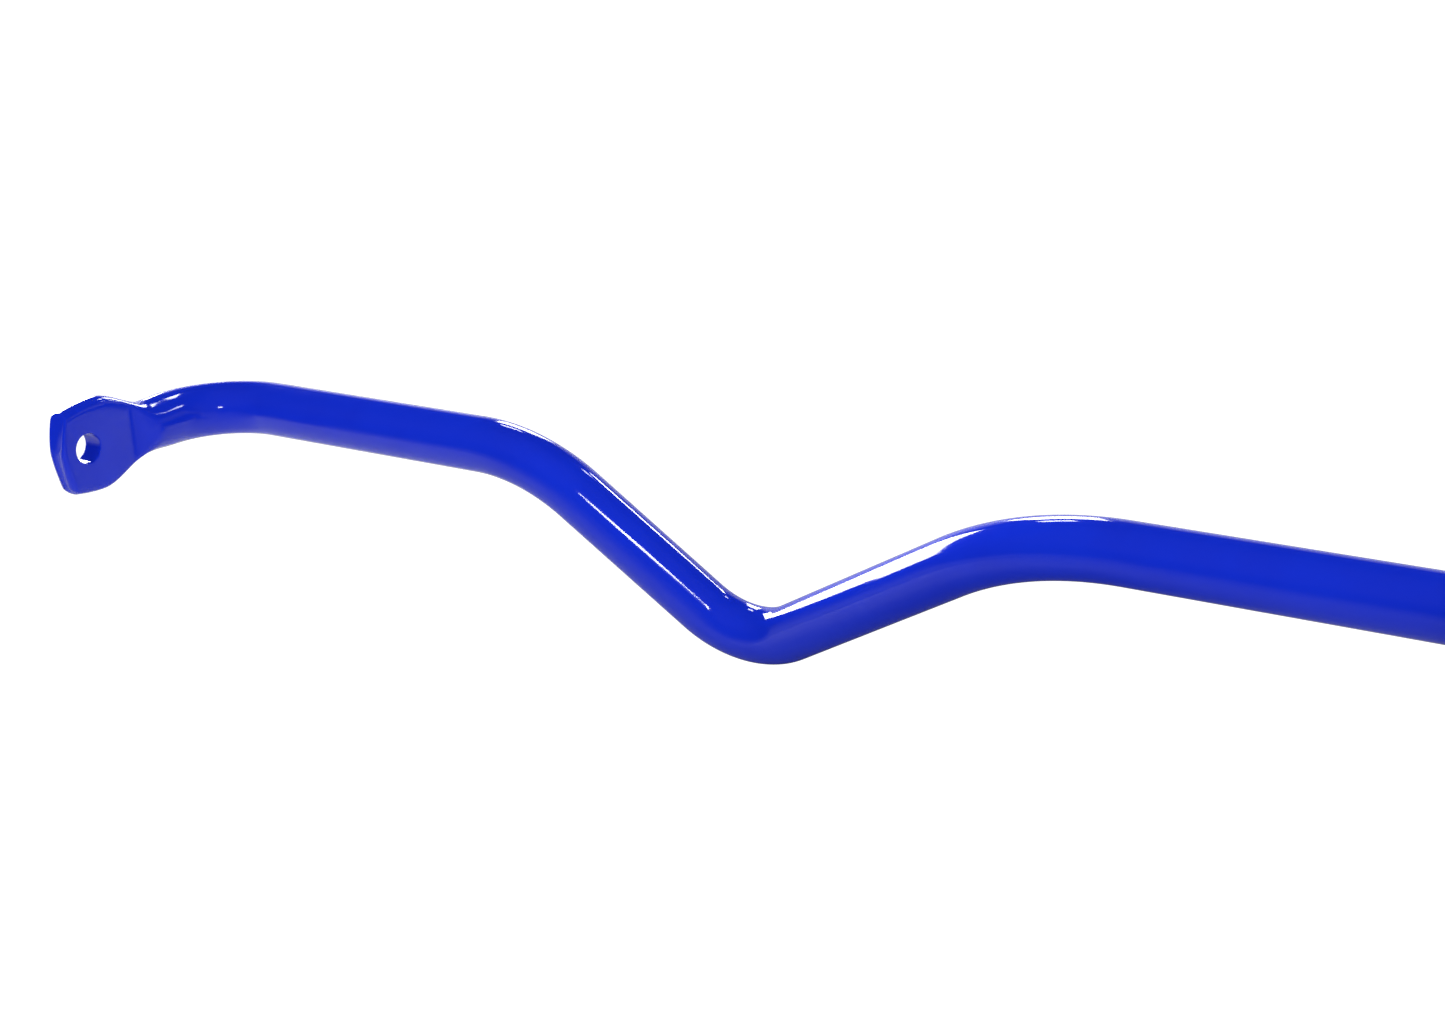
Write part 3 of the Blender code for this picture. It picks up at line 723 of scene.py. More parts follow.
@dataclass
class Bush(Mounting):
    """A split polyurethane bush: a D-shaped body in the saddle with a rounded flange at each end."""

    radius: float = 19.3 * MM
    flange_radius: float = 22.8 * MM
    flange_width: float = 4.0 * MM
    length: float = 36.6 * MM
    bore: float = 11.32 * MM
    slit: float = 1.2 * MM
    edge: float = 0.9 * MM
    clearance: float = 0.02 * MM         # under the chassis
    flare: float = 0.5                   # of the bore at its ends, as a share of the edge
    round_steps: int = 71
    face_steps: int = 6                  # over each end and across the slit's faces

    def ring(self, radius: np.ndarray, top: np.ndarray) -> np.ndarray:
        """Outline from the slit's upper edge over the flat top and round to the slit's lower edge.

        Args:
            radius: Radius of each station.
            top: Height of the flat top at each station.

        Returns:
            (y, z) for each station and each point round it.
        """
        half, up = self.slit / 2, shares(5)
        radius, top = radius[:, None], top[:, None]
        right = together(radius, half + (top - half) * up)
        flat = together(radius * (1 - 2 * up), top)[:, 1:-1]
        left = together(-radius, top * (1 - up))
        angle = shares(self.round_steps)[1:] * (math.pi - np.arcsin(half / radius))
        under = together(-radius * np.cos(angle), -radius * np.sin(angle))
        return np.concatenate([right, flat, left, under], axis=1)

    def bore_ring(self, radius: np.ndarray, outer: np.ndarray) -> np.ndarray:
        """The bore's points at the same bearings as the outer ones, between the slit's edges.

        Args:
            radius: Radius of the bore at each station.
            outer: The outline's points, as ring() gives them.

        Returns:
            (y, z) for each station and each point round it.
        """
        first = np.arcsin(self.slit / 2 / radius)[:, None]
        bearing = np.arctan2(outer[..., 1], outer[..., 0]) % (2 * math.pi)
        bearing = np.clip(bearing, first, 2 * math.pi - first)
        bearing[:, 0], bearing[:, -1] = first[:, 0], 2 * math.pi - first[:, 0]
        return radius[:, None, None] * together(np.cos(bearing), np.sin(bearing))

    def stations(self) -> tuple[np.ndarray, np.ndarray, np.ndarray]:
        """Rows along one half, from the middle over the flange to the end.

        Returns:
            The place of each row, its outer radius and how far the end's edge eats into it.
        """
        turn = quarter(5)
        early, late = self.edge * (1 - np.cos(turn)), self.edge * (1 - np.sin(turn))
        half = self.length / 2
        shoulder = half - self.flange_width
        groove = shares(5) * shoulder
        x = np.concatenate([groove, [shoulder], shoulder + early, half - late])
        flange = self.flange_radius - np.concatenate([late[:1], late, early])
        radius = np.concatenate([np.full(len(groove), self.radius), flange])
        eaten = np.concatenate([np.zeros(len(x) - len(early)), early])
        return x, radius, eaten

    def build(self, side: Side) -> Skin:
        """Makes the bush as one closed surface.

        Args:
            side: The side that it belongs to.

        Returns:
            Its surface, in its place.
        """
        place, radius, eaten = self.stations()
        place = np.concatenate([-place[:0:-1], place])
        radius, eaten = (np.concatenate([part[:0:-1], part]) for part in (radius, eaten))
        outer = self.ring(radius, self.chassis - self.clearance - eaten)
        inner = self.bore_ring(self.bore + self.flare * eaten, outer)
        x = (side.value * self.saddle_at + place)[:, None]
        outside, bore = at_x(x, outer), at_x(x, inner)
        skin = Skin()
        skin.add(outside)
        skin.add(bore)
        share = shares(self.face_steps)[:, None, None]
        for end in (0, -1):
            skin.add(outside[end] * (1 - share) + bore[end] * share)
            skin.add(outside[:, end] * (1 - share) + bore[:, end] * share)
        return skin


@dataclass
class Saddle(Mounting):
    """A pressed steel strap: a U round the bush and a drilled foot at each side, with eased edges."""

    inside: float = 19.6 * MM
    width: float = 28.0 * MM
    bend: float = 4.0 * MM
    foot_end: float = 47.1 * MM
    corner: float = 7.0 * MM
    edge: float = 0.7 * MM
    hole: float = 5.4 * MM
    hole_edge: float = 0.4 * MM
    width_steps: int = 16
    edge_steps: int = 4
    rings: int = 6

    def path(self) -> tuple[np.ndarray, np.ndarray]:
        """Middle of the strap's wall, from the +Y foot round to the -Y foot.

        Returns:
            (y, z) of its points and the way out of the wall at each.
        """
        half = self.thickness / 2
        turn = quarter(9)
        bend_y, bend_z = self.inside + self.bend, self.chassis - self.bend
        bent = together(-np.sin(turn), np.cos(turn))
        corner = np.array([bend_y, bend_z]) + bent * (self.bend - half)
        straight = together(self.inside + half, np.linspace(bend_z, 0.0, 6)[1:])
        leg = np.concatenate([corner, straight])
        leg_out = np.concatenate([-bent, np.broadcast_to([1.0, 0.0], straight.shape)])
        angle = np.linspace(0.0, math.pi, 49)[1:-1]
        under = together(np.cos(angle), -np.sin(angle))
        points = np.concatenate([leg, under * (self.inside + half), leg[::-1] * MIRROR])
        return points, np.concatenate([leg_out, under, leg_out[::-1] * MIRROR])

    def section(self) -> np.ndarray:
        """The strap's section: two flats joined by rounded edges.

        Returns:
            (x, out) of its points.
        """
        half, flat = self.thickness / 2, self.width / 2 - self.edge
        turn = quarter(self.edge_steps)
        rise = together(flat + self.edge * np.sin(turn), half - self.edge * (1 - np.cos(turn)))
        side = np.concatenate([rise, rise[::-1] * -MIRROR])
        top = together(np.linspace(-flat, flat, self.width_steps + 1), half)
        return np.concatenate([top[:-1], side, -top[1:-1], -side])

    def foot_outline(self) -> tuple[np.ndarray, np.ndarray]:
        """Outline (x, y) of a foot's flat face: up one side, over the end and down the other side.

        Returns:
            Its points and the way out of the foot at each.
        """
        flat = self.width / 2 - self.edge
        run = np.linspace(self.inside + self.bend, self.foot_end - self.corner, 10)[:-1]
        turn = quarter(8)[::-1]
        arc = together(np.sin(turn), np.cos(turn))
        middle = np.array([self.width / 2, self.foot_end]) - self.corner
        path = np.concatenate([together(flat, run), middle + arc * (self.corner - self.edge)])
        out = np.concatenate([np.broadcast_to([1.0, 0.0], (len(run), 2)), arc])
        steps = np.linspace(middle[0], -middle[0], 8)[1:-1]
        end = together(steps, self.foot_end - self.edge)
        end_out = np.broadcast_to([0.0, 1.0], end.shape)
        path = np.concatenate([path, end, path[::-1] * MIRROR])
        return path, np.concatenate([out, end_out, out[::-1] * MIRROR])

    def add_foot(self, skin: Skin, centre: float, sign: float) -> None:
        """Adds a foot: two drilled faces, the rounded edge between them and the wall of the hole.

        Args:
            skin: The surface to add to.
            centre: X of the saddle's middle.
            sign: Which way along Y the foot points.
        """
        half, flat = self.thickness / 2, self.width / 2 - self.edge
        path, out = self.foot_outline()
        across = np.linspace(-flat, flat, self.width_steps + 1)[1:-1]
        outline = np.concatenate([path, together(across, self.inside + self.bend)])
        hole = np.array([0.0, self.bolt_offset])
        spoke = unit(outline - hole)

        def place(plan: np.ndarray, height: np.ndarray | float, closed: bool = True) -> None:
            """Adds a strip of the foot from its plan and its height above the wall's middle."""
            x, y = centre + plan[..., 0], sign * plan[..., 1]
            skin.add(together(x, y, self.chassis - half + height), closed=closed)

        share = shares(self.rings)[:, None, None]
        plan = outline * (1 - share) + (hole + spoke * (self.hole + self.hole_edge)) * share
        turn = quarter(self.edge_steps)[:, None]
        reach = self.hole + self.hole_edge * (1 - np.sin(turn))
        drop = half - self.hole_edge * (1 - np.cos(turn))
        lip = hole + reach[..., None] * spoke
        for face in (1.0, -1.0):
            place(plan, face * half)
            place(lip, face * drop)
        place(np.stack([lip[-1], lip[-1]]), np.array([drop[-1], -drop[-1]]))
        grown, lowered = self.edge * np.sin(turn), half - self.edge * (1 - np.cos(turn))
        grown = np.concatenate([grown, grown[::-1]])
        lowered = np.concatenate([lowered, -lowered[::-1]])
        place(path + grown[..., None] * out, lowered, closed=False)

    def build(self, side: Side) -> Skin:
        """Makes the saddle as one closed surface.

        Args:
            side: The side that it belongs to.

        Returns:
            Its surface, in its place.
        """
        centre = side.value * self.saddle_at
        points, outward = self.path()
        section = self.section()
        wall = points[:, None] + outward[:, None] * section[:, 1:2]
        skin = Skin()
        skin.add(at_x(centre + section[:, 0], wall), closed=True)
        for sign in (1.0, -1.0):
            self.add_foot(skin, centre, sign)
        return skin


@dataclass
class FlangeBolt(Turned):
    """A hexagon bolt with a flange: its head hangs below the seat and its thread stands above."""

    seat: float = 11.4 * MM
    radius: float = 5.0 * MM
    length: float = 28.6 * MM
    pitch: float = 1.25 * MM
    thread_from: float = 3.0 * MM
    thread_depth: float = 0.61           # over the pitch
    flank: float = 1.4                   # a ridge times this, held below 1, has a flat crest
    root: float = 0.12                   # and less this, held above 0, it has a flat root
    tip: float = 1.2 * MM
    flange: float = 10.0 * MM
    flange_height: float = 3.0 * MM
    flange_rim: float = 1.2 * MM
    flats: float = 15.0 * MM
    head: float = 9.0 * MM
    dish: tuple[tuple[float, float], ...] = (        # (height over the head's end, radius)
        (0.35 * MM, 0.0), (0.35 * MM, 3.0 * MM), (0.35 * MM, 5.0 * MM),
        (0.0, 5.6 * MM), (0.0, 6.6 * MM), (0.0, 7.2 * MM),
    )
    cone: tuple[float, float] = (8.0 * MM, 9.7 * MM)     # its radius at the hexagon and at the rim
    rim: float = 0.3 * MM
    soft: float = 0.4 * MM               # the flange's upper edge and the neck
    rows_per_turn: int = 8

    def hexagon_rows(self) -> tuple[np.ndarray, np.ndarray]:
        """The chamfered hexagon and the cone that it grows into, towards the flange.

        Returns:
            The height of each row, and the radius at each row and side.
        """
        end, flange = -self.head, -self.flange_height
        height = np.concatenate([
            np.linspace(end, end + 1.0 * MM, 8), np.linspace(end + 1.0 * MM, flange, 4)[1:],
            np.linspace(flange, -self.flange_rim, 14)[1:],
        ])[:, None]
        chamfer = self.dish[-1][1] + (height - end) / math.tan(math.radians(30.0))
        small, big = self.cone
        cone = small + (height - flange) * (big - small) / (self.flange_height - self.flange_rim)
        cone = np.where(height > flange - 1e-9, cone, 0.0)
        return height[:, 0], np.maximum(cone, np.minimum(hexagon(self.flats, self.sides), chamfer))

    def thread(self) -> tuple[np.ndarray, np.ndarray]:
        """The shank: a helix of 60 degree ridges that runs out under the head.

        The height over the pitch less the share of a turn gives the place across one ridge.

        Returns:
            The height of each row, and the radius at each row and side.
        """
        rows = round((self.length - self.thread_from) / self.pitch * self.rows_per_turn)
        height = np.linspace(self.thread_from, self.length, rows + 1)[:, None]
        share = np.linspace(0.0, 1.0, self.sides, endpoint=False)[None]
        ridge = 1.0 - np.abs(2.0 * ((height / self.pitch - share) % 1.0) - 1.0)
        crest = np.clip(ridge * self.flank - self.root, 0.0, 1.0)
        fade = smoothstep((height - self.thread_from) / (2 * self.pitch))
        radius = self.radius - self.thread_depth * self.pitch * (1.0 - crest) * fade
        return height[:, 0], np.minimum(radius, self.radius - self.tip + (self.length - height))

    def rows(self) -> list[tuple[np.ndarray, np.ndarray]]:
        """The dished end, the hexagon, the flange's rounded rim, the neck and the thread.

        Returns:
            Height and radius of the rows of each stretch.
        """
        turn = quarter(4)
        out, up = np.sin(turn), 1 - np.cos(turn)
        sunk, dish = np.array(self.dish).T
        return [
            (sunk - self.head, dish),
            self.hexagon_rows(),
            (-self.flange_rim + self.rim * up, self.flange + self.rim * (out - 1)),
            (-self.soft * (1 - out), self.flange - self.soft * up),
            ([0.0, self.soft, 1.5 * MM], [self.radius + self.soft, self.radius, self.radius]),
            self.thread(),
            ([self.length], [0.0]),
        ]


@dataclass
class Washer(Turned):
    """A punched flat washer: one edge rolled over by the punch and the other one crisper."""

    outer: float = 10.5 * MM
    hole: float = 5.4 * MM
    height: float = 2.0 * MM
    seat: float = 12.7 * MM
    sides: int = 48
    rolled: float = 0.45 * MM
    crisp: float = 0.12 * MM

    def rows(self) -> list[tuple[np.ndarray, np.ndarray]]:
        """The four rounded corners of its section, and the first row again.

        Returns:
            Height and radius of the rows of each stretch.
        """
        turn, half = quarter(4), self.height / 2
        corners = (
            (self.outer, -half, self.rolled, 1.0, -1.0), (self.outer, half, self.crisp, 1.0, 1.0),
            (self.hole, half, self.crisp, -1.0, 1.0), (self.hole, -half, self.rolled, -1.0, -1.0),
        )
        rows = []
        for number, (radius, height, size, out, up) in enumerate(corners):
            angle = turn if number % 2 else turn[::-1]
            fall, shrink = up * size * (1 - np.sin(angle)), out * size * (1 - np.cos(angle))
            rows.append((height - fall, radius - shrink))
        return [*rows, (rows[0][0][:1], rows[0][1][:1])]


@dataclass
class SocketScrew(Turned):
    """A socket head screw with a knurled head, down into a lock collar."""

    seat: float = 6.3 * MM
    radius: float = 2.5 * MM
    length: float = 14.0 * MM
    head: float = 4.25 * MM
    head_height: float = 5.0 * MM
    flats: float = 4.0 * MM
    socket: float = 2.5 * MM
    knurls: int = 24
    knurl_depth: float = 0.12 * MM
    knurl_rows: tuple[float, ...] = (0.3 * MM, 0.6 * MM, 0.8 * MM, 4.0 * MM, 4.2 * MM, 4.5 * MM)
    edge: float = 0.3 * MM
    at: float = 85.2 * MM                # of the collar, from the middle of the bar
    offset: float = 15.8 * MM

    def rows(self) -> list[tuple[np.ndarray, np.ndarray]]:
        """The shank, the knurled side of the head, its rim and the hexagon socket.

        Returns:
            Height and radius of the rows of each stretch.
        """
        columns, top, end, edge = self.sides, self.head_height, -self.length, self.edge
        below = np.array([
            (end, 0.0), (end, self.radius - 0.5 * MM), (end + 0.5 * MM, self.radius),
            (-edge, self.radius), (0.0, self.radius + edge), (0.0, self.head - edge),
        ])
        ridge = 0.5 - 0.5 * np.cos(self.knurls * full_turn(columns))
        depth = np.array([0.0, 0.0, 1.0, 1.0, 0.0, 0.0])[:, None] * self.knurl_depth
        hexes = hexagon(self.flats, columns)
        bottom = top - self.socket
        return [
            (below[:, 0], below[:, 1]),
            (np.array(self.knurl_rows), self.head - depth * ridge),
            ([top - 0.1 * MM, top], [self.head - 0.2 * MM, self.head - 0.5 * MM]),
            ([top, top - 0.2 * MM, bottom], np.stack([hexes + 0.2 * MM, hexes, hexes])),
            ([bottom - 0.2 * MM], [0.0]),
        ]


@dataclass
class LockCollar(Mounting):
    """Half of a split collar: a chamfered half ring with two screw holes, counterbored above."""

    at: float = 85.2 * MM                # from the middle of the bar
    inner: float = 11.3 * MM
    outer: float = 22.05 * MM
    width: float = 12.0 * MM
    split: float = 1.0 * MM
    chamfer: float = 0.7 * MM
    bore_chamfer: float = 0.3 * MM
    screw_offset: float = 15.8 * MM
    hole: float = 2.8 * MM
    counterbore: float = 4.55 * MM
    counterbore_from: float = 6.0 * MM
    crease: float = 25.0
    round_steps: int = 96

    def half_ring(self) -> Skin:
        """The upper half before it is drilled, with its ends in the plane of the split.

        Returns:
            Its surface, at the middle of the bar.
        """
        half, big, small = self.width / 2, self.chamfer, self.bore_chamfer
        loop = np.array([
            (half, self.inner + small), (half, self.outer - big), (half - big, self.outer),
            (0.0, self.outer), (big - half, self.outer), (-half, self.outer - big),
            (-half, self.inner + small), (small - half, self.inner), (0.0, self.inner),
            (half - small, self.inner),
        ])
        first = np.arcsin(self.split / 2 / loop[:, 1])
        angle = first + (math.pi - 2 * first) * shares(self.round_steps)[:, None]
        ring = together(loop[:, 0], loop[:, 1] * np.cos(angle), loop[:, 1] * np.sin(angle))
        skin = Skin()
        skin.add(ring, closed=True)
        for end in (ring[0], ring[-1]):
            skin.add(np.stack([end, 0.0 * end + end.mean(axis=0)]), closed=True)
        return skin

    def drill(self, obj: bpy.types.Object, radius: float, y: float, bottom: float, top: float) -> None:
        """Cuts an upright round hole and keeps the result as the mesh.

        Args:
            obj: The piece to drill.
            radius: Radius of the hole.
            y: Y of its axis, which X = 0 passes through.
            bottom: Height that it starts at.
            top: Height that it ends at.
        """
        tool_skin = Skin()
        grid = turned_grid([bottom, bottom, top, top], [0.0, radius, radius, 0.0], self.sides)
        tool_skin.add(grid + y * AXIS_Y, closed=True)
        tool = tool_skin.to_object("drill")
        cut = obj.modifiers.new("drill", "BOOLEAN")
        cut.operation, cut.solver, cut.object = "DIFFERENCE", "EXACT", tool
        evaluated = obj.evaluated_get(bpy.context.evaluated_depsgraph_get())
        drilled = bpy.data.meshes.new_from_object(evaluated)
        obj.modifiers.clear()
        obj.data = drilled
        bpy.data.objects.remove(tool, do_unlink=True)

    def build(self, side: Side, upper: bool, finish: "Finish") -> None:
        """Makes a half, drills it, turns the lower one over and ties it to the frame.

        Args:
            side: The side that it belongs to.
            upper: Whether it is the half with the screws' heads.
            finish: Its finish.
        """
        node = f"lock_collar_{'upper' if upper else 'lower'}_{side.label}"
        obj = self.half_ring().to_object(f"{node}_detail", crease_degrees=self.crease)
        above = 2 * self.outer
        for y in (-self.screw_offset, self.screw_offset):
            self.drill(obj, self.hole, y, -above, above)
            if upper:
                self.drill(obj, self.counterbore, y, self.counterbore_from, above)
        flip = 1.0 if upper else -1.0
        turned = Matrix.Diagonal((1.0, flip, flip, 1.0))
        obj.data.transform(Matrix.Translation((side.value * self.at, 0.0, 0.0)) @ turned)
        obj.data.shade_smooth()
        obj.data.set_sharp_from_angle(angle=math.radians(self.crease))
        obj.data.materials.clear()
        self.tie(obj, node, "collar", finish, body="bar")


def add_mountings() -> None:
    """Builds the bush, the saddle, its bolts and washers, and the lock collar, on both sides."""
    rubber = Elastomer("red_polyurethane", (0.50, 0.030, 0.012), 0.42)
    steel = PlatedSteel("zinc_plated_saddle", (0.60, 0.60, 0.56), 0.30)
    bolt_steel = PlatedSteel("zinc_plated_bolt", (0.66, 0.64, 0.55), 0.26)
    washer_steel = PlatedSteel("washer_steel", (0.50, 0.51, 0.52), 0.34)
    oxide = PlatedSteel("black_oxide", (0.035, 0.035, 0.04), 0.38, worn=(0.30, 0.30, 0.31))
    alloy = PlatedSteel("turned_alloy", (0.74, 0.75, 0.77), 0.27, turned=True)
    for side in Side:
        label = side.label
        bush, saddle = Bush(), Saddle()
        bush.add(bush.build(side), f"bush_{label}", "bush", rubber)
        saddle.add(saddle.build(side), f"saddle_{label}", "saddle", steel)
        for place, sign in (("front", -1.0), ("rear", 1.0)):
            bolt, washer, screw = FlangeBolt(), Washer(), SocketScrew()
            x, y = side.value * bolt.saddle_at, sign * bolt.bolt_offset
            bolt.add(bolt.build(x, y), f"saddle_bolt_{label}_{place}", "bolt", bolt_steel)
            washer.add(washer.build(x, y), f"washer_{label}_{place}", "washer", washer_steel)
            skin = screw.build(side.value * screw.at, sign * screw.offset)
            screw.add(skin, f"collar_screw_{label}_{place}", "screw", oxide, body="bar")
        for upper in (True, False):
            LockCollar().build(side, upper, alloy)


# ---------------------------------------------------------------- shader groups

def new_group(name: str, inputs: dict[str, float], outputs: dict[str, str]) -> bpy.types.NodeTree:
    """Starts a shader node group that reads a position and some numbers.

    Args:
        name: Name of the group.
        inputs: Label and default of each number.
        outputs: Label and socket type of each output.

    Returns:
        The group's tree, with its input and output nodes in it.
    """
    tree = bpy.data.node_groups.new(name, "ShaderNodeTree")
    tree.interface.new_socket("Position", in_out="INPUT", socket_type="NodeSocketVector")
    for label, default in inputs.items():
        socket = tree.interface.new_socket(label, in_out="INPUT", socket_type="NodeSocketFloat")
        socket.default_value = default
    for label, kind in outputs.items():
        tree.interface.new_socket(label, in_out="OUTPUT", socket_type=kind)
    tree.nodes.new("NodeGroupInput")
    tree.nodes.new("NodeGroupOutput")
    return tree


@dataclass
class Wiring:
    """Adds nodes to a tree and links them, one call each."""

    tree: bpy.types.NodeTree

    def node(self, kind: str, settings: dict | None = None, **values: object) -> bpy.types.Node:
        """Adds a node.

        Args:
            kind: Its type.
            settings: Properties of the node itself.
            **values: Value or linked socket of each input, by its name with _ for spaces.

        Returns:
            The node.
        """
        made = self.tree.nodes.new(kind)
        for key, value in (settings or {}).items():
            setattr(made, key, value)
        for key, value in values.items():
            self.feed(made.inputs[key.replace("_", " ")], value)
        return made

    def feed(self, socket: bpy.types.NodeSocket, value: object) -> None:
        """Links another socket to this one, or sets its value.

        Args:
            socket: The input.
            value: Its value, or the output that feeds it.
        """
        if isinstance(value, bpy.types.NodeSocket):
            self.tree.links.new(value, socket)
        else:
            socket.default_value = value

    def chain(
        self, kind: str, settings: dict, inputs: dict[int, object], output: int = 0
    ) -> bpy.types.NodeSocket:
        """Adds a node whose inputs are fed by number.

        Args:
            kind: Its type.
            settings: Properties of the node itself.
            inputs: Value or linked socket of each input, by its number.
            output: Number of the output to give.

        Returns:
            That output.
        """
        made = self.node(kind, settings)
        for number, value in inputs.items():
            self.feed(made.inputs[number], value)
        return made.outputs[output]

    def math(self, operation: str, *values: object) -> bpy.types.NodeSocket:
        """Adds a math node and gives its result."""
        return self.chain("ShaderNodeMath", {"operation": operation}, dict(enumerate(values)))

    def vector(self, operation: str, *values: object, output: int = 0) -> bpy.types.NodeSocket:
        """Adds a vector math node and gives its result: output 0 is a vector and 1 a number."""
        return self.chain("ShaderNodeVectorMath", {"operation": operation}, dict(enumerate(values)), output)

    def blend(self, share: object, first: object, second: object) -> bpy.types.NodeSocket:
        """Adds a colour that goes from the first to the second with the share."""
        return self.chain("ShaderNodeMix", {"data_type": "RGBA"}, {0: share, 6: first, 7: second}, 2)

    def noise(self, position: object, scale: object, detail: float, roughness: float) -> bpy.types.NodeSocket:
        """Adds a noise texture and gives its factor."""
        values = {"Vector": position, "Scale": scale, "Detail": detail, "Roughness": roughness}
        return self.node("ShaderNodeTexNoise", **values).outputs["Fac"]

    def ramp(
        self, value: object, low: float, high: float, to_low: float, to_high: float
    ) -> bpy.types.NodeSocket:
        """Maps one span of numbers to another, smoothly and without going past its ends."""
        inputs = dict(enumerate((value, low, high, to_low, to_high)))
        return self.chain("ShaderNodeMapRange", {"interpolation_type": "SMOOTHSTEP"}, inputs)


class Effect(Enum):
    """The shader groups that several finishes share."""

    PEEL = "orange_peel"
    GRAIN = "fine_grain"
    DUST = "settled_dust"
    TURNED = "turned_rings"

    def tree(self) -> bpy.types.NodeTree:
        """The group, made the first time that it is asked for."""
        return bpy.data.node_groups.get(self.value) or EFFECT_MAKERS[self](self.value)


def make_peel(name: str) -> bpy.types.NodeTree:
    """Height of a sprayed coat: low rounded swells, finer ripples, and pits where it was worked.

    Args:
        name: Name of the group.

    Returns:
        The group's tree.
    """
    tree = new_group(
        name, {"Scale": 420.0, "Pits": 0.0}, {"Height": "NodeSocketFloat", "Mottle": "NodeSocketFloat"})
    wiring = Wiring(tree)
    inside = tree.nodes["Group Input"].outputs
    swell = wiring.noise(inside["Position"], inside["Scale"], 1.0, 0.5)
    fine_scale = wiring.math("MULTIPLY", inside["Scale"], 2.7)
    ripple = wiring.noise(inside["Position"], fine_scale, 1.0, 0.5)
    pit_scale = wiring.math("MULTIPLY", inside["Scale"], 1.9)
    pits = wiring.ramp(wiring.noise(inside["Position"], pit_scale, 2.0, 0.6), 0.36, 0.6, 0.0, 1.0)
    coat = wiring.math("MULTIPLY_ADD", ripple, 0.3, swell)
    worked = wiring.math("MULTIPLY", wiring.math("MULTIPLY", pits, inside["Pits"]), 6.0)
    outside = tree.nodes["Group Output"].inputs
    tree.links.new(wiring.math("ADD", coat, worked), outside["Height"])
    slow_scale = wiring.math("MULTIPLY", inside["Scale"], 0.09)
    tree.links.new(wiring.noise(inside["Position"], slow_scale, 3.0, 0.55), outside["Mottle"])
    return tree


def make_grain(name: str) -> bpy.types.NodeTree:
    """Height and mottle of fine grain, from two noises at a named scale.

    Args:
        name: Name of the group.

    Returns:
        The group's tree.
    """
    tree = new_group(
        name, {"Scale": 900.0}, {"Height": "NodeSocketFloat", "Mottle": "NodeSocketFloat"})
    wiring = Wiring(tree)
    inside = tree.nodes["Group Input"].outputs
    outside = tree.nodes["Group Output"].inputs
    tree.links.new(wiring.noise(inside["Position"], inside["Scale"], 4.0, 0.6), outside["Height"])
    slow_scale = wiring.math("MULTIPLY", inside["Scale"], 0.06)
    tree.links.new(wiring.noise(inside["Position"], slow_scale, 4.0, 0.6), outside["Mottle"])
    return tree


def make_dust(name: str) -> bpy.types.NodeTree:
    """Mask of dust: faces that look up, broken up by noise.

    Args:
        name: Name of the group.

    Returns:
        The group's tree.
    """
    tree = new_group(name, {"Amount": 0.3}, {"Mask": "NodeSocketFloat"})
    wiring = Wiring(tree)
    inside = tree.nodes["Group Input"].outputs
    normal = wiring.node("ShaderNodeNewGeometry").outputs["Normal"]
    up = wiring.node("ShaderNodeSeparateXYZ", Vector=normal).outputs["Z"]
    facing = wiring.ramp(up, 0.1, 1.0, 0.0, 1.0)
    broken = wiring.ramp(wiring.noise(inside["Position"], 140.0, 6.0, 0.7), 0.4, 0.75, 0.1, 1.0)
    mask = wiring.math("MULTIPLY", wiring.math("MULTIPLY", facing, broken), inside["Amount"])
    tree.links.new(mask, tree.nodes["Group Output"].inputs["Mask"])
    return tree


def make_turned(name: str) -> bpy.types.NodeTree:
    """Height of a lathe's marks: noise that changes with the distance from X and along X only.

    Args:
        name: Name of the group.

    Returns:
        The group's tree.
    """
    tree = new_group(name, {"Scale": 2600.0}, {"Height": "NodeSocketFloat"})
    wiring = Wiring(tree)
    inside = tree.nodes["Group Input"].outputs
    split = wiring.node("ShaderNodeSeparateXYZ", Vector=inside["Position"])
    y_squared = wiring.math("POWER", split.outputs["Y"], 2.0)
    z_squared = wiring.math("POWER", split.outputs["Z"], 2.0)
    distance = wiring.math("SQRT", wiring.math("ADD", y_squared, z_squared))
    rings = wiring.node("ShaderNodeCombineXYZ", X=split.outputs["X"], Y=distance)
    height = wiring.noise(rings.outputs["Vector"], inside["Scale"], 2.0, 0.5)
    tree.links.new(height, tree.nodes["Group Output"].inputs["Height"])
    return tree


EFFECT_MAKERS = {
    Effect.PEEL: make_peel,
    Effect.GRAIN: make_grain,
    Effect.DUST: make_dust,
    Effect.TURNED: make_turned,
}


# ---------------------------------------------------------------- finishes

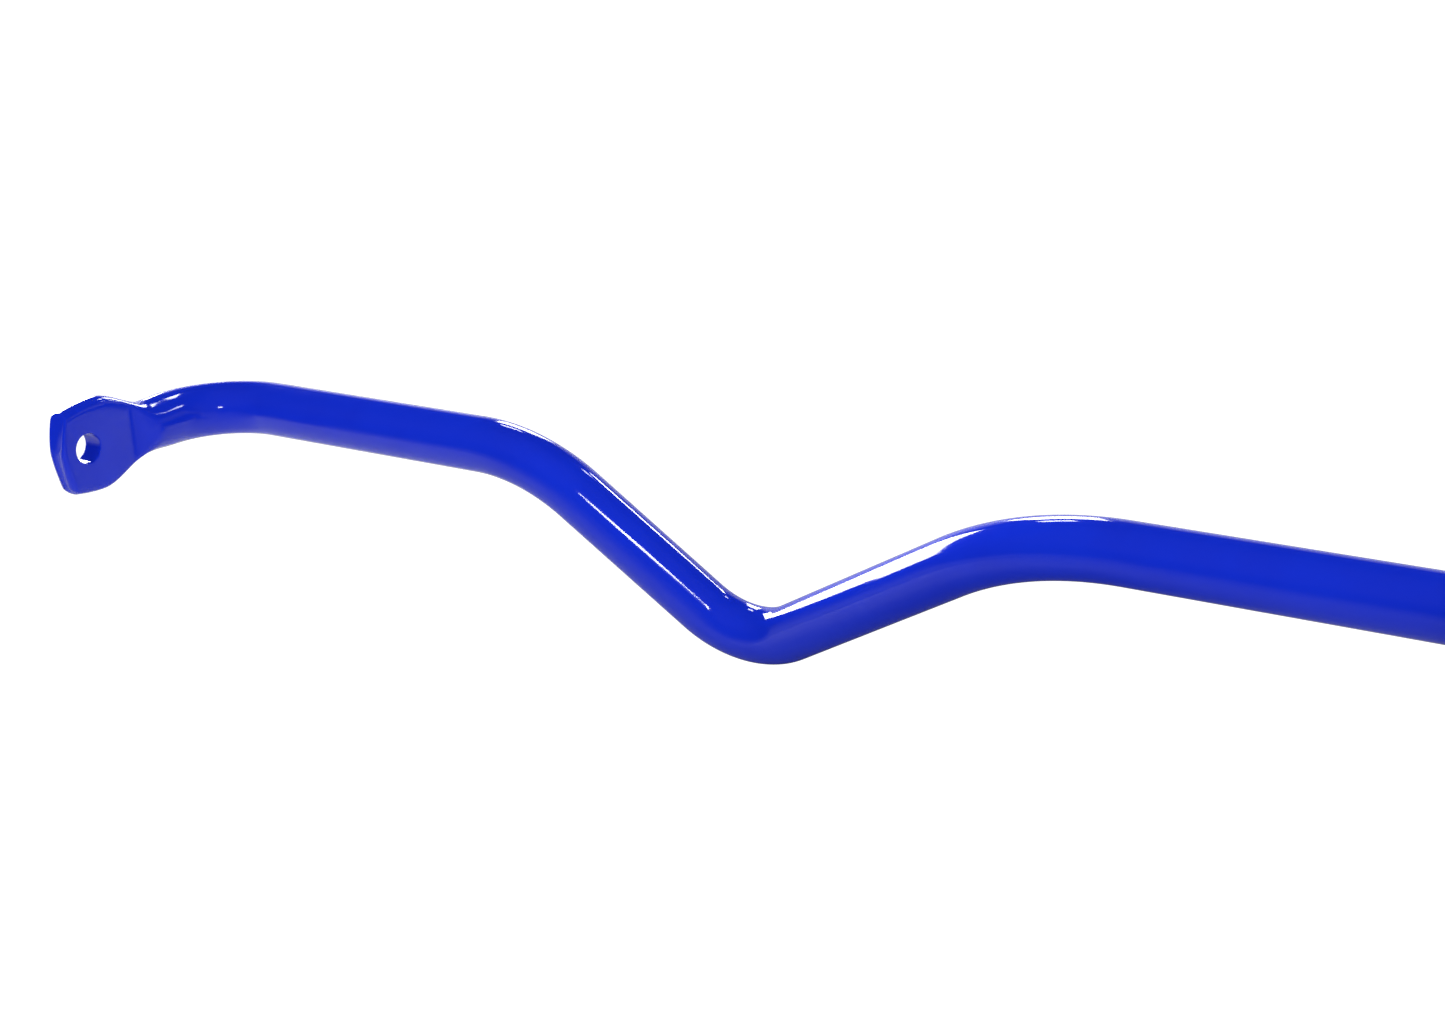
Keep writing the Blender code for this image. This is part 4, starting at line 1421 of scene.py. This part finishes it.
@dataclass(frozen=True)
class Finish:
    """What every finish has: a name, its colour and how rough it is."""

    name: str
    colour: tuple[float, float, float]
    roughness: float

    def start(self) -> tuple[bpy.types.Material, Wiring, bpy.types.Node, bpy.types.NodeSocket]:
        """Starts the material.

        Returns:
            The material, its wiring, its Principled BSDF and the Object coordinates.
        """
        made = bpy.data.materials.new(self.name)
        made.use_nodes = True
        made.diffuse_color = (*self.colour, 1.0)
        wiring = Wiring(made.node_tree)
        shader = made.node_tree.nodes["Principled BSDF"]
        position = wiring.node("ShaderNodeTexCoord").outputs["Object"]
        return made, wiring, shader, position

    def tint(
        self, wiring: Wiring, mask: object, shade: float, other: tuple[float, float, float]
    ) -> bpy.types.NodeSocket:
        """A colour between this finish's and another, by a mask times a share."""
        return wiring.blend(wiring.math("MULTIPLY", mask, shade), (*self.colour, 1.0), (*other, 1.0))

    def effect(self, wiring: Wiring, effect: Effect, position: object, **values: object) -> bpy.types.Node:
        """Places one of the shared groups."""
        return wiring.node("ShaderNodeGroup", {"node_tree": effect.tree()}, Position=position, **values)

    def bump(self, wiring: Wiring, shader: bpy.types.Node, height: object, depth: float) -> None:
        """Turns a height between 0 and 1 into the shader's normal.

        Args:
            wiring: The material's wiring.
            shader: Its Principled BSDF.
            height: The socket with the height.
            depth: The height of 1, in metres.
        """
        made = wiring.node("ShaderNodeBump", Strength=1.0, Distance=depth, Height=height)
        wiring.feed(shader.inputs["Normal"], made.outputs["Normal"])


@dataclass(frozen=True)
class PowderCoat(Finish):
    """A glossy, baked powder coat with a slight orange peel."""

    deep: tuple[float, float, float] = (0.0035, 0.011, 0.36)
    peel_scale: float = 330.0
    peel_depth: float = 0.0012 * MM

    def material(self) -> bpy.types.Material:
        """Makes the material.

        Returns:
            The material.
        """
        made, wiring, shader, position = self.start()
        worked = wiring.node("ShaderNodeAttribute", {"attribute_name": "worked"}).outputs["Fac"]
        peel = self.effect(wiring, Effect.PEEL, position, Scale=self.peel_scale, Pits=worked)
        mottle = wiring.ramp(peel.outputs["Mottle"], 0.3, 0.7, 0.0, 1.0)
        wiring.feed(shader.inputs["Base Color"], self.tint(wiring, mottle, 0.25, self.deep))
        rough = wiring.ramp(peel.outputs["Mottle"], 0.3, 0.7, self.roughness * 0.8, self.roughness * 1.25)
        wiring.feed(shader.inputs["Roughness"], rough)
        shader.inputs["IOR"].default_value = 1.5
        self.bump(wiring, shader, peel.outputs["Height"], self.peel_depth)
        return made


@dataclass(frozen=True)
class Elastomer(Finish):
    """Moulded polyurethane: a satin skin with faint flow marks and a little dust on top."""

    dust: tuple[float, ...] = (0.42, 0.38, 0.34, 1.0)
    grain_scale: float = 1400.0
    grain_depth: float = 0.02 * MM
    def material(self) -> bpy.types.Material:
        """Makes the material, or gives the one that was made before.

        Returns:
            The material.
        """
        if self.name in bpy.data.materials:
            return bpy.data.materials[self.name]
        made, wiring, shader, position = self.start()
        grain = self.effect(wiring, Effect.GRAIN, position, Scale=self.grain_scale)
        dust = self.effect(wiring, Effect.DUST, position, Amount=0.25)
        darker = tuple(0.6 * part for part in self.colour)
        body = self.tint(wiring, grain.outputs["Mottle"], 0.35, darker)
        dusty = wiring.blend(dust.outputs["Mask"], body, self.dust)
        wiring.feed(shader.inputs["Base Color"], dusty)
        low, high = self.roughness * 0.85, self.roughness * 1.2
        wiring.feed(shader.inputs["Roughness"], wiring.ramp(grain.outputs["Mottle"], 0.3, 0.7, low, high))
        shader.inputs["Subsurface Weight"].default_value = 0.08
        shader.inputs["Subsurface Radius"].default_value = (0.003, 0.001, 0.0005)
        shader.inputs["Subsurface Scale"].default_value = 0.5
        self.bump(wiring, shader, grain.outputs["Height"], self.grain_depth)
        return made


@dataclass(frozen=True)
class PlatedSteel(Finish):
    """Plated, blackened or turned metal: cloudy colour, streaky roughness and fine grain."""

    worn: tuple[float, float, float] = (0.42, 0.42, 0.41)
    turned: bool = False
    grain_scale: float = 1100.0
    turned_scale: float = 2600.0
    grain_depth: float = 0.012 * MM

    def material(self) -> bpy.types.Material:
        """Makes the material, or gives the one that was made before.

        Returns:
            The material.
        """
        if self.name in bpy.data.materials:
            return bpy.data.materials[self.name]
        made, wiring, shader, position = self.start()
        grain = self.effect(wiring, Effect.GRAIN, position, Scale=self.grain_scale)
        clouds = wiring.ramp(grain.outputs["Mottle"], 0.35, 0.7, 0.0, 1.0)
        wiring.feed(shader.inputs["Base Color"], self.tint(wiring, clouds, 0.5, self.worn))
        shader.inputs["Metallic"].default_value = 1.0
        low, high = self.roughness * 0.8, self.roughness * 1.35
        wiring.feed(shader.inputs["Roughness"], wiring.ramp(grain.outputs["Mottle"], 0.3, 0.7, low, high))
        height = grain.outputs["Height"]
        if self.turned:
            rings = self.effect(wiring, Effect.TURNED, position, Scale=self.turned_scale)
            height = rings.outputs["Height"]
        self.bump(wiring, shader, height, self.grain_depth)
        return made


@dataclass(frozen=True)
class Paper(Finish):
    """Plain pale paper under the object, which the camera sees as an even white.

    It is darker towards +X and -Y as painted shade, with a painted contact shadow under the dips,
    which nearly touch it, so the object's lower side reflects it less brightly there.
    """

    # colour of the painted shade and of the painted contact shadow
    painted_shade_colour: tuple[float, float, float] = (0.07, 0.07, 0.08)
    painted_shade_slope: tuple[float, float, float] = (0.8, -0.6, 0.0)         # the way in which the painted shade deepens
    painted_shadow_at: tuple[float, float, float] = (-0.33, 0.0, 0.0)       # minus the place of the dip, where the painted contact shadow is darkest
    fibre_scale: float = 60.0

    def material(self) -> bpy.types.Material:
        """Makes the material: white to the camera, and paper with painted shade to everything else.

        Returns:
            The material.
        """
        made, wiring, shader, position = self.start()
        fibre = self.effect(wiring, Effect.GRAIN, position, Scale=self.fibre_scale)
        along = wiring.vector("DOT_PRODUCT", position, self.painted_shade_slope, output=1)
        # painted shade: the paper's colour darkens towards +X and -Y
        shade = wiring.ramp(along, -0.65, 0.0, 0.0, 0.62)
        shade = wiring.math("ADD", shade, wiring.math("MULTIPLY", fibre.outputs["Mottle"], 0.05))
        # painted contact shadow: the paper's colour darkens near each dip
        folded = wiring.vector("ABSOLUTE", position)
        flat = wiring.vector("MULTIPLY_ADD", folded, (1.0, 1.0, 0.0), self.painted_shadow_at)
        away = wiring.vector("LENGTH", flat, output=1)
        shade = wiring.math("ADD", shade, wiring.ramp(away, 0.03, 0.17, 0.5, 0.0))
        # the painted shade and painted shadow darken the paper's colour
        wiring.feed(shader.inputs["Base Color"], self.tint(wiring, shade, 1.0, self.painted_shade_colour))
        shader.inputs["Roughness"].default_value = self.roughness
        shader.inputs["Specular IOR Level"].default_value = 0.0
        to_camera = wiring.node("ShaderNodeLightPath").outputs["Is Camera Ray"]
        glow = wiring.node("ShaderNodeEmission", Color=WHITE, Strength=PAST_WHITE).outputs["Emission"]
        either = wiring.chain("ShaderNodeMixShader", {}, {0: to_camera, 1: shader.outputs["BSDF"], 2: glow})
        wiring.feed(made.node_tree.nodes["Material Output"].inputs["Surface"], either)
        return made


# ---------------------------------------------------------------- studio

@dataclass(frozen=True)
class SoftBox:
    """A rectangular lamp that faces the object from a bearing round it and a height above it.

    Bearing 0 is towards -Y and 90 towards +X. Sizes are the angles that the lamp spans.
    """

    name: str
    bearing: float
    elevation: float
    wide: float
    high: float
    radiance: float
    distance: float = 2.4
    seen_in_gloss: bool = True
    aim: tuple[float, float, float] = (-0.4, 0.0, 0.0)

    def add(self) -> None:
        """Adds the lamp, turned towards the point that it aims at."""
        lamp = bpy.data.lights.new(self.name, "AREA")
        lamp.shape = "RECTANGLE"
        lamp.size = 2 * self.distance * math.tan(math.radians(self.wide / 2))
        lamp.size_y = 2 * self.distance * math.tan(math.radians(self.high / 2))
        lamp.energy = self.radiance * math.pi * lamp.size * lamp.size_y
        turn, lift = math.radians(self.bearing), math.radians(self.elevation)
        away = Vector((math.sin(turn) * math.cos(lift), -math.cos(turn) * math.cos(lift), math.sin(lift)))
        obj = bpy.data.objects.new(self.name, lamp)
        obj.location = Vector(self.aim) + away * self.distance
        obj.rotation_euler = away.to_track_quat("Z", "Y").to_euler()
        obj.visible_camera = False
        obj.visible_glossy = self.seen_in_gloss
        bpy.context.scene.collection.objects.link(obj)


@dataclass
class Studio:
    """Floor, lamps, dark surroundings and camera."""

    camera_at: tuple[float, float, float] = (-31.5 * MM, -470.6 * MM, 414.8 * MM)
    camera_turn: tuple[float, float, float] = (53.477, 11.799, 29.719)
    lens: float = 50.0
    sensor: float = 36.0
    floor_size: float = 60.0
    horizon_radiance: float = 0.55
    horizon_band: tuple[float, float] = (0.04, 0.2)      # where its glow starts to fade and ends
    ambient: float = 0.012
    brightest: tuple[float, float, float] = (-0.7, 0.7, 0.0)     # where the horizon is brightest
    lamps: tuple[SoftBox, ...] = (
        SoftBox("left_softbox", -109.0, 7.5, 38.0, 22.0, 20.0),
        SoftBox("rear_left_strip", -153.5, 5.0, 14.0, 20.0, 12.0),
        SoftBox("rear_strip", 168.5, 9.0, 5.0, 9.0, 26.0, distance=8.0),
        SoftBox("right_strip", 50.0, 35.0, 9.0, 4.0, 34.0),
        SoftBox("arm_strip", 149.5, 19.3, 5.0, 4.5, 14.0, distance=0.9, aim=EYE_AIM),
        SoftBox("high_rear_strip", -167.3, 28.0, 10.0, 5.0, 16.0, distance=0.9, aim=EYE_AIM),
        SoftBox("right_fill", 90.0, 20.0, 60.0, 50.0, 1.6, seen_in_gloss=False),
        SoftBox("front_fill", 15.0, 8.0, 110.0, 16.0, 4.2, seen_in_gloss=False),
        SoftBox("overhead", -20.0, 80.0, 80.0, 80.0, 1.4, seen_in_gloss=False),
    )

    def add_floor(self) -> None:
        """Lays the floor under the lowest point of the object."""
        lines = np.linspace(-self.floor_size / 2, self.floor_size / 2, 7)
        skin = Skin()
        skin.add(together(lines, lines[:, None], cad_box[0].z))
        floor = skin.to_object("floor")
        floor.data.materials.append(Paper("pale_paper", FLOOR_COLOUR, FLOOR_ROUGHNESS).material())

    def add_world(self) -> None:
        """Dark surroundings with a pale band at the horizon, stronger behind and to the left."""
        world = bpy.data.worlds.new("studio")
        bpy.context.scene.world = world
        world.use_nodes = True
        wiring = Wiring(world.node_tree)
        direction = wiring.node("ShaderNodeTexCoord").outputs["Generated"]
        height = wiring.node("ShaderNodeSeparateXYZ", Vector=direction).outputs["Z"]
        low = wiring.ramp(height, *self.horizon_band, 1.0, 0.0)
        towards = wiring.vector("DOT_PRODUCT", direction, self.brightest, output=1)
        behind = wiring.ramp(towards, -0.6, 0.9, 0.15, self.horizon_radiance)
        glow = wiring.math("ADD", wiring.math("MULTIPLY", low, behind), self.ambient)
        to_camera = wiring.node("ShaderNodeLightPath").outputs["Is Camera Ray"]
        inputs = {0: to_camera, 2: glow, 3: PAST_WHITE}
        strength = wiring.chain("ShaderNodeMix", {"data_type": "FLOAT"}, inputs)
        shader = world.node_tree.nodes.get("Background") or wiring.node("ShaderNodeBackground")
        shader.inputs["Color"].default_value = WHITE
        wiring.feed(shader.inputs["Strength"], strength)

    def add_camera(self) -> None:
        """Places the camera, with no shift and everything in focus."""
        data = bpy.data.cameras.new("camera")
        data.lens = self.lens
        data.sensor_width = self.sensor
        data.clip_start = 0.01
        data.clip_end = 100.0
        camera = bpy.data.objects.new("camera", data)
        camera.location = self.camera_at
        camera.rotation_euler = Euler([math.radians(angle) for angle in self.camera_turn])
        bpy.context.scene.collection.objects.link(camera)
        bpy.context.scene.camera = camera

    def build(self) -> None:
        """Adds the whole studio."""
        self.add_floor()
        self.add_world()
        for lamp in self.lamps:
            lamp.add()
        self.add_camera()
        bpy.context.scene.view_settings.view_transform = "Standard"


# ---------------------------------------------------------------- all of it


def main() -> None:
    """Builds the sub-assemblies in order, then the studio."""
    logging.basicConfig(level=logging.INFO, format="%(message)s")
    bar = Bar()
    bar.dress(bar.build(), PowderCoat("blue_powder_coat", COAT_COLOUR, COAT_ROUGHNESS))
    add_mountings()
    Studio().build()


if __name__ == "__main__":
    main()
